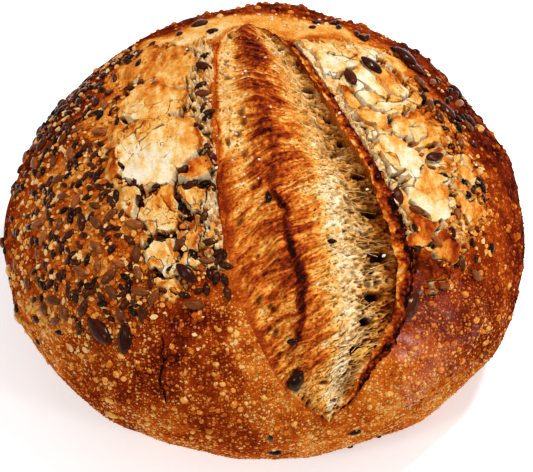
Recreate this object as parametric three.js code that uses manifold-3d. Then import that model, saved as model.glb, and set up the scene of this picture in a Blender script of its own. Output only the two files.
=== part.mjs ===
// A round multigrain sourdough loaf: a domed crust split along its top by one long cut, the torn crumb
// that swelled up through it, the raised ear on its right, cracked floury plates either side, and seeds.
// Millimetres, +Z up. The loaf stands on z = 0 with the crown above the origin, its front towards -Y.
// Places on the crust are given as a direction from the heart of the loaf, in degrees away from the
// crown: `right` towards +X and `back` towards +Y. One degree is about 1.7 mm of crust.
import * as THREE from "three";
import { mergeVertices } from "three/addons/utils/BufferGeometryUtils.js";
import Module from "manifold-3d";

// Driving dimensions of the whole loaf
const LOAF_WIDTH = 200;
const LOAF_DEPTH = 198;
const RING_HEIGHT = 37; // the widest ring, above the base
const CROWN_RISE = 58; // from the widest ring up to the crown
const UNDERSIDE_DROP = 46; // how far the lower half would reach if the base did not cut it flat
const CROWN_POWER = 2; // 2 is an ellipse, more is squarer
const UNDERSIDE_POWER = 2.4;
const LOBING = -0.015; // three gentle lobes in plan, one of them at the back

// The dome's mesh
const DOME_SEGMENTS = 66;
const DOME_RINGS = 25;
const CRUST_SWELL = 0.8; // height of the broad, slow bumps in the crust

// The cut along the top: left and right lips from the back tip to the front tip
const LEFT_LIP = [
  [-4, 56], [-13, 44], [-17, 30], [-17, 5], [-15, -19], [-11, -45], [-2, -62], [12, -74], [20, -81],
];
const RIGHT_LIP = [
  [-4, 56], [6, 47], [20, 22], [32, -5], [40, -27], [41, -44], [37, -58], [28, -70], [20, -81],
];
const CUT_DEPTH = 13;
const CUT_STEPS = 26; // rows from tip to tip
const CRUMB_STEPS = 9; // columns from lip to lip
const CRUMB_TUCK = 0.05; // how far the crumb runs in under each lip, as a share of the width
// Height of the torn crumb against the crust around it, from the left lip to the right one
const CRUMB_PROFILE = [
  [0, -2.6], [0.14, -0.6], [0.36, 3.4], [0.56, 2.2], [0.72, -2.4], [0.88, -8.5], [1, -6],
];
const FIBRES = 0.7; // height of the ropes of crumb that run across the cut

// The torn crest that stands along the middle of the crumb: its run, as [along, across] the cut
const CREST_RUN = [[0.5, 0.31], [0.55, 0.38], [0.62, 0.385], [0.71, 0.37], [0.75, 0.29], [0.78, 0.2]];
const CREST_SECTION = [[1.8, -2], [1, 0.7], [0.1, 1.7], [-0.6, 1.1], [-1.6, -2]];
const CREST_STEPS = 12;

// The ear: the crust that lifted along the right lip. Each corner is [outwards from the lip, height]
const EAR_SECTION = [[10, -2.5], [6.5, 0.9], [2.5, 3.9], [-1.6, 5.2], [-2.6, 4.1], [0.4, 1.2], [1.6, -2.5]];
const EAR_STEPS = 22;
const EAR_SPAN = [0.06, 0.95]; // from tip to tip

// Floury plates of cracked crust left and right of the cut: the middle and the largest radius, in degrees
const LEFT_PLATES = [
  [-20, 46, 8], [-30, 33, 8.5], [-42, 39, 7], [-38, 17, 8.5], [-28, 9, 3.5], [-25, 18, 3.5], [-36, -4, 10],
  [-48, -7, 4], [-49, 5, 5], [-25, -14, 4.5], [-44, -21, 4], [-37, -19, 3], [-33, -28, 6], [-23, -26, 5],
  [-21, -36, 5], [-39, -33, 3.5], [-32, -40, 4.5], [-26, -44, 3.5], [-29, -50, 3.5],
];
const RIGHT_PLATES = [
  [20, 39, 8], [32, 42, 5], [41, 24, 8.5], [44, 38, 4], [29, 18, 3.5], [37, 10, 4], [33, 4, 3.5],
  [50, 8, 7], [44, -4, 6.5], [54, -2, 4.5], [51, -16, 6.5], [43, -22, 4.5], [59, -11, 3], [62, -3, 3.5],
  [62, -16, 3.5], [47, -29, 4.5], [54, -32, 4], [48, -40, 5.5],
];
const PLATE_CORNERS = 9;
const PLATE_PROUD = 1.7;
const PLATE_ROOT = -1.5;
const CRACK = 0.7; // half the gap between two plates, degrees
const LEFT_PLATE_MARGIN = 1.5; // from the lip to the nearest plate, degrees
const RIGHT_PLATE_MARGIN = 4.5;

// Seeds: length, width and thickness, and how many there are
const PUMPKIN = { size: [13.4, 6.8, 3.6], count: 9 };
const SUNFLOWER = { size: [9.2, 4.5, 2.8], count: 36 };
const FLAX = { size: [5, 2.6, 1.6], count: 96 };
const SEED_LIFT = 0.25; // of its thickness, from the crust up to the middle of a seed
// Where seeds lie: middle, the two radii and how thickly they are sown
const SEED_BEDS = [
  { at: [-58, -22], radii: [22, 34], share: 1 },
  { at: [-34, -52], radii: [30, 11], share: 0.9 },
  { at: [-60, 18], radii: [16, 26], share: 0.55 },
  { at: [-38, 30], radii: [18, 22], share: 0.3 },
  { at: [52, -24], radii: [18, 26], share: 0.5 },
  { at: [52, 24], radii: [18, 24], share: 0.4 },
];
const SEED_APART = 0.62; // closest two seeds may lie, as a share of their lengths added and halved
const SEED_SPREAD = 92; // degrees from the crown to the furthest seed

const GOLDEN_TURN = Math.PI * (3 - Math.sqrt(5));
const DEGREES = Math.PI / 180;

const wasm = await Module();
wasm.setup();

const HEART = new THREE.Vector3(0, (LOBING * LOAF_DEPTH) / 2, RING_HEIGHT);

// The point of the crust in that direction, `lift` millimetres out from it, and the way out there.
function onCrust(right, back, lift = 0) {
  const away = Math.hypot(right, back) * DEGREES;
  const bearing = Math.atan2(back, right);
  const flat = Math.sin(away);
  const way = new THREE.Vector3(flat * Math.cos(bearing), flat * Math.sin(bearing), Math.cos(away));
  const lobes = 1 + LOBING * Math.sin(3 * bearing);
  const halfWidth = (LOAF_WIDTH / 2) * lobes;
  const halfDepth = (LOAF_DEPTH / 2) * lobes;
  const power = way.z >= 0 ? CROWN_POWER : UNDERSIDE_POWER;
  const halfHeight = way.z >= 0 ? CROWN_RISE : UNDERSIDE_DROP;
  const plan = Math.hypot(way.x / halfWidth, way.y / halfDepth);
  const reach = (plan ** power + (Math.abs(way.z) / halfHeight) ** power) ** (-1 / power);
  const point = way.clone().multiplyScalar(reach);
  const steepness = Math.max(plan * reach, 1e-6) ** (power - 2);
  const out = new THREE.Vector3(
    (steepness * point.x) / halfWidth ** 2,
    (steepness * point.y) / halfDepth ** 2,
    (Math.sign(point.z) * (Math.abs(point.z) / halfHeight) ** (power - 1)) / halfHeight,
  ).normalize();
  point.add(HEART).addScaledVector(out, lift);
  point.z = Math.max(point.z, 0);
  return { point, out };
}

// Broad bumps of a hand-shaped, oven-sprung crust.
function swell(right, back) {
  return CRUST_SWELL * (
    Math.sin(right * 0.09 + 1.3) * Math.sin(back * 0.11 - 0.4) + 0.5 * Math.sin(right * 0.21 - back * 0.17)
  );
}

// A closed mesh as a solid that can be joined and cut.
function solidFrom(geometry) {
  const bare = geometry.clone();
  bare.deleteAttribute("normal");
  bare.deleteAttribute("uv");
  const merged = mergeVertices(bare, 1e-4);
  const solid = new wasm.Manifold(new wasm.Mesh({
    numProp: 3,
    vertProperties: new Float32Array(merged.attributes.position.array),
    triVerts: new Uint32Array(merged.index.array),
  }));
  if (solid.volume() > 0) return solid;
  const index = Array.from(merged.index.array);
  for (let i = 0; i < index.length; i += 3) [index[i + 1], index[i + 2]] = [index[i + 2], index[i + 1]];
  return solidFrom(merged.setIndex(index));
}

// A closed skin over rows of points. Every row is a ring, and a middle point closes either end.
function loft(rows) {
  const around = rows[0].length;
  const points = rows.flat();
  const faces = [];
  for (let row = 0; row + 1 < rows.length; row++) {
    for (let i = 0; i < around; i++) {
      const [a, b] = [row * around + i, row * around + ((i + 1) % around)];
      faces.push(a, b, b + around, a, b + around, a + around);
    }
  }
  for (const [row, flip] of [[0, true], [rows.length - 1, false]]) {
    const middle = rows[row].reduce((sum, p) => sum.add(p), new THREE.Vector3()).divideScalar(around);
    const hub = points.push(middle) - 1;
    for (let i = 0; i < around; i++) {
      const [a, b] = [row * around + i, row * around + ((i + 1) % around)];
      faces.push(...(flip ? [hub, b, a] : [hub, a, b]));
    }
  }
  return new THREE.BufferGeometry().setFromPoints(points).setIndex(faces);
}

function dome() {
  const rows = [];
  for (let ring = 1; ring < DOME_RINGS; ring++) {
    const away = (180 * ring) / DOME_RINGS;
    const row = [];
    for (let i = 0; i < DOME_SEGMENTS; i++) {
      const bearing = (2 * Math.PI * i) / DOME_SEGMENTS;
      const [right, back] = [away * Math.cos(bearing), away * Math.sin(bearing)];
      const onTop = THREE.MathUtils.smoothstep(120 - away, 0, 30);
      row.push(onCrust(right, back, swell(right, back) * onTop).point);
    }
    rows.push(row);
  }
  return solidFrom(loft(rows));
}

const leftLip = new THREE.SplineCurve(LEFT_LIP.map((p) => new THREE.Vector2(...p)));
const rightLip = new THREE.SplineCurve(RIGHT_LIP.map((p) => new THREE.Vector2(...p)));

// The place `along` the cut from the back tip to the front, and `across` it from left to right.
function inCut(along, across) {
  return leftLip.getPoint(along).lerp(rightLip.getPoint(along), across);
}

function crumbRise(along, across) {
  const next = Math.max(1, CRUMB_PROFILE.findIndex(([place]) => place >= Math.min(Math.max(across, 0), 1)));
  const [[x0, h0], [x1, h1]] = [CRUMB_PROFILE[next - 1], CRUMB_PROFILE[next]];
  const body = THREE.MathUtils.lerp(h0, h1, THREE.MathUtils.smoothstep(across, x0, x1));
  const tips = Math.sin(Math.PI * along) ** 0.6;
  const inside = Math.min(Math.max(across, 0), 1);
  const ropes = FIBRES * Math.sin(along * 62 + across * 8) * Math.sin(Math.PI * inside);
  return (body + ropes) * tips - 1.2 * (1 - tips);
}

// A slab of the loaf between two heights over a grid of places, each row running left to right.
function slab(places, low, high) {
  const rows = places.map((row) => [
    ...row.map(({ right, back, ...where }) => onCrust(right, back, high(where)).point),
    ...row.toReversed().map(({ right, back, ...where }) => onCrust(right, back, low(where)).point),
  ]);
  return solidFrom(loft(rows));
}

function cutGrid(columns, tuck) {
  const grid = [];
  for (let step = 0; step <= CUT_STEPS; step++) {
    const along = 0.012 + (0.976 * step) / CUT_STEPS;
    const row = [];
    for (let column = 0; column <= columns; column++) {
      const across = -tuck + ((1 + 2 * tuck) * column) / columns;
      const place = inCut(along, across);
      row.push({ right: place.x, back: place.y, along, across });
    }
    grid.push(row);
  }
  return grid;
}

function cutInCrust() {
  return slab(cutGrid(3, 0), () => -CUT_DEPTH, () => 20);
}

function crumb() {
  const places = cutGrid(CRUMB_STEPS, CRUMB_TUCK);
  return slab(places, () => -CUT_DEPTH - 8, ({ along, across }) => crumbRise(along, across));
}

// A ragged strip standing along a line of places. `ground` gives the height under it.
function strip(section, steps, place, ground) {
  const rows = [];
  for (let step = 0; step <= steps; step++) {
    const along = step / steps;
    const [here, ahead] = [place(along), place(along + 0.01)];
    const { point, out } = onCrust(here.x, here.y, ground(along));
    const run = onCrust(ahead.x, ahead.y, ground(along)).point.sub(point).normalize();
    const outwards = new THREE.Vector3().crossVectors(out, run).normalize();
    const size = 0.25 + 0.75 * Math.sin(Math.PI * along) ** 0.7;
    const ragged = 1 + 0.12 * Math.sin(step * 2.4);
    rows.push(section.map(([x, height]) => point.clone()
      .addScaledVector(outwards, x * size)
      .addScaledVector(out, height > 0 ? height * size * ragged : height)));
  }
  return solidFrom(loft(rows));
}

function ear() {
  const reach = (along) => THREE.MathUtils.lerp(EAR_SPAN[0], EAR_SPAN[1], along);
  return strip(EAR_SECTION, EAR_STEPS, (along) => rightLip.getPoint(reach(along)), () => 0);
}

function crest() {
  const run = new THREE.SplineCurve(CREST_RUN.map((p) => new THREE.Vector2(...p)));
  const place = (along) => inCut(...run.getPoint(along).toArray());
  const ground = (along) => crumbRise(...run.getPoint(along).toArray());
  return strip(CREST_SECTION, CREST_STEPS, place, ground);
}

// The part of a rough circle round a plate's middle that no other plate takes, less the crack.
function plateOutline(plate, others) {
  const middle = new THREE.Vector2(plate.right, plate.back);
  let outline = [];
  for (let corner = 0; corner < PLATE_CORNERS; corner++) {
    const turn = (2 * Math.PI * corner) / PLATE_CORNERS + plate.right;
    const radius = plate.reach * (1.08 + 0.12 * Math.sin(corner * 2.3 + plate.back));
    outline.push(new THREE.Vector2(Math.cos(turn), Math.sin(turn)).multiplyScalar(radius).add(middle));
  }
  for (const other of others) {
    const towards = new THREE.Vector2(other.right, other.back).sub(middle);
    const apart = towards.length();
    const limit = (apart ** 2 + plate.reach ** 2 - other.reach ** 2) / (2 * apart) - CRACK;
    outline = clip(outline, (p) => p.clone().sub(middle).dot(towards) / apart - limit);
  }
  return outline;
}

// What is left of an outline where `beyond` is below zero.
function clip(outline, beyond) {
  const kept = [];
  outline.forEach((p, i) => {
    const q = outline[(i + 1) % outline.length];
    const [dp, dq] = [beyond(p), beyond(q)];
    if (dp <= 0) kept.push(p);
    if (dp * dq < 0) kept.push(p.clone().lerp(q, dp / (dp - dq)));
  });
  return kept;
}

function lipAt(curve, back) {
  let best = curve.getPoint(0);
  for (const p of curve.getPoints(60)) {
    if (Math.abs(p.y - back) < Math.abs(best.y - back)) best = p;
  }
  return best.x;
}

function plates(places, side) {
  const all = places.map(([right, back, reach]) => ({ right, back, reach }));
  const lip = side < 0 ? leftLip : rightLip;
  const margin = side < 0 ? LEFT_PLATE_MARGIN : RIGHT_PLATE_MARGIN;
  return all.map((plate, i) => {
    const outline = plateOutline(plate, all.filter((other) => other !== plate));
    const clear = clip(outline, (p) => side * (lipAt(lip, p.y) - p.x) + margin);
    const tilt = 0.35 * Math.sin(i * 2.7);
    return solidFrom(loft([PLATE_ROOT, PLATE_PROUD].map((height) => clear.map((p) => {
      const lean = height > 0 ? tilt * Math.sign(p.y - plate.back) : 0;
      return onCrust(p.x, p.y, height + lean).point;
    }))));
  });
}

// A kernel lying along +X, blunt at one end and pointed at the other.
function kernel([length, width, thickness], detail) {
  const shape = detail > 0 ? new THREE.OctahedronGeometry(0.5, 1) : new THREE.IcosahedronGeometry(0.5, 0);
  const position = shape.attributes.position;
  for (let i = 0; i < position.count; i++) {
    const x = position.getX(i);
    const taper = 1 - 0.45 * Math.max(0, x * 2) ** 1.5;
    position.setXYZ(i, x * length, position.getY(i) * width * taper, position.getZ(i) * thickness * taper);
  }
  return shape;
}

function sowing(right, back) {
  return Math.max(...SEED_BEDS.map(({ at, radii, share }) => {
    const off = Math.hypot((right - at[0]) / radii[0], (back - at[1]) / radii[1]);
    return share * THREE.MathUtils.smoothstep(1.15 - off, 0, 0.3);
  }));
}

// Places for the seeds, the largest kinds first, by an even spiral that keeps only what falls in the beds.
function sowSeeds() {
  const sown = [];
  const plan = [[PUMPKIN, 1], [SUNFLOWER, 1], [FLAX, 0]];
  for (const [kind, detail] of plan) {
    let left = kind.count;
    for (let i = 1; left > 0 && i < 4000; i++) {
      const away = SEED_SPREAD * Math.sqrt((i * 0.754877) % 1);
      const bearing = i * GOLDEN_TURN + kind.size[0];
      const [right, back] = [away * Math.cos(bearing), away * Math.sin(bearing)];
      const { point, out } = onCrust(right, back);
      if ((i * 0.569840) % 1 > sowing(right, back)) continue;
      const apart = (other) => (SEED_APART * (other.length + kind.size[0])) / 2;
      if (sown.some((other) => other.point.distanceTo(point) < apart(other))) continue;
      sown.push({ point, out, length: kind.size[0], size: kind.size, detail, turn: i * 2.1 });
      left--;
    }
  }
  return sown;
}

function seed({ point, out, size, detail, turn }) {
  const along = new THREE.Vector3(Math.cos(turn), Math.sin(turn), 0);
  along.addScaledVector(out, -along.dot(out)).normalize();
  const across = new THREE.Vector3().crossVectors(out, along);
  const place = new THREE.Matrix4().makeBasis(along, across, out);
  place.setPosition(point.clone().addScaledVector(out, size[2] * SEED_LIFT));
  return solidFrom(kernel(size, detail).applyMatrix4(place));
}

// The whole loaf: the dome opened by the cut, then everything that grew on it or stuck to it.
function bakeLoaf() {
  let loaf = dome().subtract(cutInCrust()).add(crumb()).add(crest()).add(ear());
  for (const plate of [...plates(LEFT_PLATES, -1), ...plates(RIGHT_PLATES, 1)]) loaf = loaf.add(plate);
  for (const sown of sowSeeds()) loaf = loaf.add(seed(sown));
  const whole = loaf.simplify(0.04).decompose().reduce((a, b) => (a.volume() > b.volume() ? a : b));
  const mesh = whole.getMesh();
  const geometry = new THREE.BufferGeometry();
  geometry.setAttribute("position", new THREE.BufferAttribute(mesh.vertProperties, 3));
  geometry.setIndex(new THREE.BufferAttribute(mesh.triVerts, 1));
  geometry.computeVertexNormals();
  return geometry;
}

const crustMaterial = new THREE.MeshStandardMaterial({ color: 0xa8602c, roughness: 0.72, metalness: 0 });
const loaf = new THREE.Mesh(bakeLoaf(), crustMaterial);
loaf.name = "loaf";

const bread = new THREE.Group();
bread.add(loaf);

export default bread;
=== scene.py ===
import bpy
import math
from functools import reduce
from types import SimpleNamespace
import numpy as np
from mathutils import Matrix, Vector


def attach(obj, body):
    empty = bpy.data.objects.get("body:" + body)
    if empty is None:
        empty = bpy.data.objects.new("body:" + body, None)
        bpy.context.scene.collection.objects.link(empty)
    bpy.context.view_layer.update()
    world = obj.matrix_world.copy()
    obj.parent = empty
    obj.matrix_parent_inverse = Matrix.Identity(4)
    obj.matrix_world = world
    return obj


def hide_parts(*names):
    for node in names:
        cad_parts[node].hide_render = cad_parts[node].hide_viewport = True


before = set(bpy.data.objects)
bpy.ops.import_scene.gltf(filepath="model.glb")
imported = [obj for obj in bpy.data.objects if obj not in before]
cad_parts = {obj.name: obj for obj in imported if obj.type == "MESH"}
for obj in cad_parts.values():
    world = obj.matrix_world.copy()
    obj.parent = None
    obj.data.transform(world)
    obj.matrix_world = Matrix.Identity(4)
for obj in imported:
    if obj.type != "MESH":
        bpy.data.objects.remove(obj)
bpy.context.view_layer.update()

mm = 0.001  # every size below is in millimetres, and meshes are written in metres

# The loaf's own form, as its solid has it. Places on it are directions from its heart, in degrees
# away from the crown: u to the right, v to the back.
loafForm = {
    "halfWidth": 100, "halfDepth": 99, "ringHeight": 37, "crownRise": 58, "undersideDrop": 46,
    "crownPower": 2.0, "undersidePower": 2.4, "lobing": -0.015, "swell": 0.8,
    "lumps": [(22, 0.9), (8, 0.4), (3.2, 0.2)],  # size and height
}
heart = np.array([0, loafForm["lobing"] * loafForm["halfDepth"], loafForm["ringHeight"]])
cutForm = {
    "leftLip": [(-5, 56), (-14, 50), (-17.5, 30), (-17.5, 5), (-15, -19), (-11, -45), (-3, -62.5),
                (6, -74.5), (20, -82)],
    "rightLip": [(-5, 56), (6, 47), (20, 22), (32, -5), (40, -27), (41, -44), (37, -58), (28, -70),
                 (20, -82)],
    "depth": 13, "length": 190, "wobble": 0.45, "wobbleSize": 3.5,
}


def skinAt(u, v, lift=0.0):
    form = loafForm
    away, bearing = np.radians(np.hypot(u, v)), np.arctan2(v, u)
    way = np.stack([np.sin(away) * np.cos(bearing), np.sin(away) * np.sin(bearing), np.cos(away)], -1)
    lobes = 1 + form["lobing"] * np.sin(3 * bearing)
    a, b = form["halfWidth"] * lobes, form["halfDepth"] * lobes
    power = np.where(way[..., 2] >= 0, form["crownPower"], form["undersidePower"])
    c = np.where(way[..., 2] >= 0, form["crownRise"], form["undersideDrop"])
    plan = np.hypot(way[..., 0] / a, way[..., 1] / b)
    reach = (plan ** power + (np.abs(way[..., 2]) / c) ** power) ** (-1 / power)
    point = way * reach[..., None]
    steep = np.maximum(plan * reach, 1e-6) ** (power - 2)
    rise = np.sign(point[..., 2]) * (np.abs(point[..., 2]) / c) ** (power - 1) / c
    out = np.stack([steep * point[..., 0] / a ** 2, steep * point[..., 1] / b ** 2, rise], -1)
    out /= np.linalg.norm(out, axis=-1, keepdims=True)
    point = point + heart + out * np.broadcast_to(lift, reach.shape)[..., None]
    point[..., 2] = np.maximum(point[..., 2], 0)
    return point, out


def degreesOf(points):  # the way back, from a point to its direction
    way = points - heart
    away = np.degrees(np.arccos(np.clip(way[:, 2] / np.linalg.norm(way, axis=1), -1, 1)))
    bearing = np.arctan2(way[:, 1], way[:, 0])
    return away * np.cos(bearing), away * np.sin(bearing)


def hashed(cells, salt):  # a number from 0 to 1 that belongs to each whole-number cell
    key = cells[..., 0] * 374761393 + cells[..., 1] * 668265263 + cells[..., 2] * 974711 + salt * 69069
    key = ((key & 0xFFFFFFFF) ^ ((key & 0xFFFFFFFF) >> 13)) * 1274126177 & 0xFFFFFFFF
    return ((key ^ (key >> 16)) & 0xFFFF) / 65535


def lumps(points, size, salt=0, octaves=1):  # soft noise, about -1 to 1
    total = 0
    for octave in range(octaves):
        spot = points / (size * 0.5 ** octave)
        corner = np.floor(spot).astype(np.int64)
        part = spot - corner
        part = part * part * (3 - 2 * part)
        here = 0
        for step in np.ndindex(2, 2, 2):
            weight = np.prod(np.where(np.array(step) == 1, part, 1 - part), axis=-1)
            here = here + weight * hashed(corner + np.array(step), salt + octave)
        total = total + (here * 2 - 1) * 0.5 ** octave
    return total


def cellsAt(points, size, salt=0):  # how far the nearest two cell middles are, its number and its middle
    spot = points / size
    corner = np.floor(spot).astype(np.int64)
    first = np.full(len(points), 9.0)
    second = first.copy()
    number = np.zeros(len(points))
    home = spot.copy()
    flat = points.shape[1] == 2
    for step in np.ndindex(3, 3, 1 if flat else 3):
        cell = np.zeros((len(points), 3), np.int64)
        cell[:, :points.shape[1]] = corner + (np.array(step) - 1)[:points.shape[1]]
        middle = np.stack([cell[:, k] + hashed(cell, salt + 3 + k) for k in range(points.shape[1])], -1)
        far = np.linalg.norm(middle - spot, axis=1)
        nearer = far < first
        second = np.where(nearer, first, np.minimum(second, far))
        number = np.where(nearer, hashed(cell, salt + 9), number)
        home = np.where(nearer[:, None], middle, home)
        first = np.where(nearer, far, first)
    return first, second, number, home * size


def soft(low, high, value):  # a smooth step from low to high
    share = np.clip((value - low) / (high - low), 0, 1)
    return share * share * (3 - 2 * share)


def along3(x, y, z=0.0):
    return np.stack(np.broadcast_arrays(x, y, z), -1).astype(float)


def lipAt(name, along):  # the lip's direction at a share of the way from the back tip to the front tip
    stops = np.array(cutForm[name], float)
    last = len(stops) - 1
    spot = np.clip(along, 0, 1) * last
    first = np.minimum(np.floor(spot).astype(int), last - 1)
    t = (spot - first)[..., None]
    p0, p1 = stops[np.maximum(first - 1, 0)], stops[first]
    p2, p3 = stops[first + 1], stops[np.minimum(first + 2, last)]
    v0, v1 = (p2 - p0) / 2, (p3 - p1) / 2
    return (2 * p1 - 2 * p2 + v0 + v1) * t ** 3 + (3 * p2 - 3 * p1 - 2 * v0 - v1) * t ** 2 + v0 * t + p1


def inCut(along, across, wobble=0.0):  # the direction at a share of the way along the cut and across it
    left, right = lipAt("leftLip", along), lipAt("rightLip", along)
    ends = np.sin(np.pi * np.clip(along, 0, 1)) ** 0.5 * wobble
    for lip, layer in ((left, 0), (right, 40)):
        torn = lumps(along3(along * cutForm["length"], layer), cutForm["wobbleSize"], 5, 3)
        lip[..., 0] += torn * ends
    return left + (right - left) * np.asarray(across)[..., None]


def lipBeside(name, v):  # the lip's own u, in the row of the same v
    line = lipAt(name, np.linspace(0, 1, 400))
    return np.interp(-v, -line[:, 1], line[:, 0])


def fromLip(name, u, v):  # degrees outwards from a lip, in the row of the same v
    away = u - lipBeside(name, v)
    return -away if name == "leftLip" else away


def inOval(u, v, middle, radii):  # 0 in the middle of a zone and 1 at its border
    return np.hypot((u - middle[0]) / radii[0], (v - middle[1]) / radii[1])


def ground(u, v):  # how far the lumpy crust stands out from the plain form
    points = skinAt(u, v)[0]
    swell = np.sin(u * 0.09 + 1.3) * np.sin(v * 0.11 - 0.4) + 0.5 * np.sin(u * 0.21 - v * 0.17)
    height = loafForm["swell"] * swell * soft(120, 90, np.hypot(u, v))
    for k, (size, high) in enumerate(loafForm["lumps"]):
        height = height + lumps(points, size, 11 + k) * high
    return height * soft(0, 12, points[..., 2])


def selectAlone(piece):
    bpy.ops.object.select_all(action="DESELECT")
    bpy.context.view_layer.objects.active = piece
    piece.select_set(True)


def startFrom(primitive, name, **settings):  # a new primitive, selected alone
    bpy.ops.object.select_all(action="DESELECT")
    primitive(**settings)
    piece = bpy.context.object
    piece.name = piece.data.name = name
    return piece


def placesOf(piece):
    places = np.empty(len(piece.data.vertices) * 3)
    piece.data.vertices.foreach_get("co", places)
    return places.reshape(-1, 3) / mm


def setPlaces(piece, places):
    piece.data.vertices.foreach_set("co", (places * mm).ravel())
    piece.data.update()


def addObject(name, data):
    made = bpy.data.objects.new(name, data)
    bpy.context.scene.collection.objects.link(made)
    return made


def meshFrom(name, places, faces):
    mesh = bpy.data.meshes.new(name)
    mesh.from_pydata((places * mm).tolist(), [], faces)
    return addObject(name, mesh)


def keepValues(piece, **values):  # what its material reads, at every place of its mesh
    for name, value in values.items():
        layer = piece.data.attributes.new(name, "FLOAT", "POINT")
        layer.data.foreach_set("value", np.full(len(layer.data), value, np.float32))


def outwards(piece):  # doubles merged, then every face turned to look out
    selectAlone(piece)
    bpy.ops.object.mode_set(mode="EDIT")
    bpy.ops.mesh.select_all(action="SELECT")
    bpy.ops.mesh.remove_doubles(threshold=1e-6)
    bpy.ops.mesh.normals_make_consistent(inside=False)
    bpy.ops.object.mode_set(mode="OBJECT")


def gridSheet(name, columns, rows):  # a grid with its columns from 0 to 1 and rows from 0 to 1
    piece = startFrom(bpy.ops.mesh.primitive_grid_add, name, x_subdivisions=columns, y_subdivisions=rows,
                      size=2)
    spots = placesOf(piece) * mm / 2 + 0.5
    return piece, np.clip(spots[:, 0], 0, 1), np.clip(spots[:, 1], 0, 1)


def closeBelow(piece, drop):  # the open rim goes down into the loaf and is gathered there in one point
    top = len(piece.data.vertices)
    bpy.ops.object.mode_set(mode="EDIT")
    bpy.ops.mesh.select_all(action="SELECT")
    bpy.ops.mesh.region_to_loop()
    bpy.ops.mesh.extrude_edges_move()
    bpy.ops.object.mode_set(mode="OBJECT")
    places = placesOf(piece)
    u, v = degreesOf(places[top:])
    places[top:] = skinAt(u, v, -drop)[0]
    setPlaces(piece, places)
    bpy.ops.object.mode_set(mode="EDIT")
    bpy.ops.mesh.extrude_edges_move()
    bpy.ops.mesh.merge(type="CENTER")
    bpy.ops.object.mode_set(mode="OBJECT")
    outwards(piece)


def finishPiece(piece, material, angle=60):
    piece.data.materials.clear()
    piece.data.materials.append(material)
    selectAlone(piece)
    bpy.ops.object.shade_smooth_by_angle(angle=math.radians(angle))
    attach(piece, "root")
    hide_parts("loaf")
    piece.data.calc_loop_triangles()
    print(piece.name, len(piece.data.loop_triangles), "triangles")


# Shading

def plug(tree, socket, value):
    if isinstance(value, bpy.types.NodeSocket):
        tree.links.new(value, socket)
    else:
        socket.default_value = value


def addNode(tree, kind, settings=None, **inputs):  # at0, at1 and so on are inputs by number
    made = tree.nodes.new(kind)
    for name, value in (settings or {}).items():
        setattr(made, name, value)
    for name, value in inputs.items():
        plug(tree, made.inputs[int(name[2:]) if name.startswith("at") else name.replace("_", " ")], value)
    return made


def calc(operation, a, b):  # one of the two is an output of a node
    tree = (a if isinstance(a, bpy.types.NodeSocket) else b).id_data
    return addNode(tree, "ShaderNodeMath", {"operation": operation}, at0=a, at1=b).outputs[0]


def plus(a, b):
    return calc("ADD", a, b)


def times(a, b):
    return calc("MULTIPLY", a, b)


def most(a, b):
    return calc("MAXIMUM", a, b)


def stepUp(value, low, high, start=0.0, end=1.0):
    made = addNode(value.id_data, "ShaderNodeMapRange", {"interpolation_type": "SMOOTHSTEP"}, Value=value,
                   From_Min=low, From_Max=high, To_Min=start, To_Max=end)
    return made.outputs["Result"]


def noiseAt(place, scale, detail, roughness=0.5):
    return addNode(place.id_data, "ShaderNodeTexNoise", Vector=place, Scale=scale, Detail=detail,
                   Roughness=roughness).outputs


def mixTones(tree, share, a, b, blend="MIX"):
    return addNode(tree, "ShaderNodeMix", {"data_type": "RGBA", "blend_type": blend}, Factor=share,
                   at6=a, at7=b).outputs[2]


def linearTone(red, green, blue):  # a tone as the eye sees it, 0 to 255, as the light it throws back
    parts = [x / 255 for x in (red, green, blue)]
    return [x / 12.92 if x <= 0.04045 else ((x + 0.055) / 1.055) ** 2.4 for x in parts] + [1]


def newGroup(name, outputs, **inputs):
    group = bpy.data.node_groups.new(name, "ShaderNodeTree")
    for label, kind in inputs.items():
        group.interface.new_socket(label, in_out="INPUT", socket_type="NodeSocket" + kind)
    for label, kind in outputs.items():
        group.interface.new_socket(label, in_out="OUTPUT", socket_type="NodeSocket" + kind)
    return group, group.nodes.new("NodeGroupInput").outputs, group.nodes.new("NodeGroupOutput").inputs


def useGroup(tree, group, **inputs):
    return addNode(tree, "ShaderNodeGroup", {"node_tree": group}, **inputs).outputs


# how dough takes colour in the oven, from white flour to burnt
bakeSteps = [
    (0.0, (238, 228, 206)), (0.14, (238, 204, 146)), (0.28, (232, 168, 78)), (0.42, (212, 122, 38)),
    (0.56, (178, 78, 16)), (0.7, (136, 44, 9)), (0.84, (92, 24, 7)), (0.94, (50, 12, 6)), (1.0, (20, 8, 5)),
]
deepShade = (0.035, 0.017, 0.008, 1)
bakeTone, given, result = newGroup("bakeTone", {"Tone": "Color"}, Place="Vector", Bake="Float",
                                   Mottle="Float", Shade="Float")
both = plus(noiseAt(given["Place"], 0.16, 3.0)["Fac"], noiseAt(given["Place"], 1.1, 3.0, 0.65)["Fac"])
shift = times(calc("SUBTRACT", both, 1.0), given["Mottle"])
ramp = addNode(bakeTone, "ShaderNodeValToRGB", Fac=plus(given["Bake"], shift))
while len(ramp.color_ramp.elements) < len(bakeSteps):
    ramp.color_ramp.elements.new(0.5)
for element, (spot, tone) in zip(ramp.color_ramp.elements, bakeSteps):
    element.position = spot
    element.color = linearTone(*tone)
shaded = mixTones(bakeTone, given["Shade"], ramp.outputs["Color"], deepShade, "MULTIPLY")
plug(bakeTone, result["Tone"], shaded)

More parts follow.
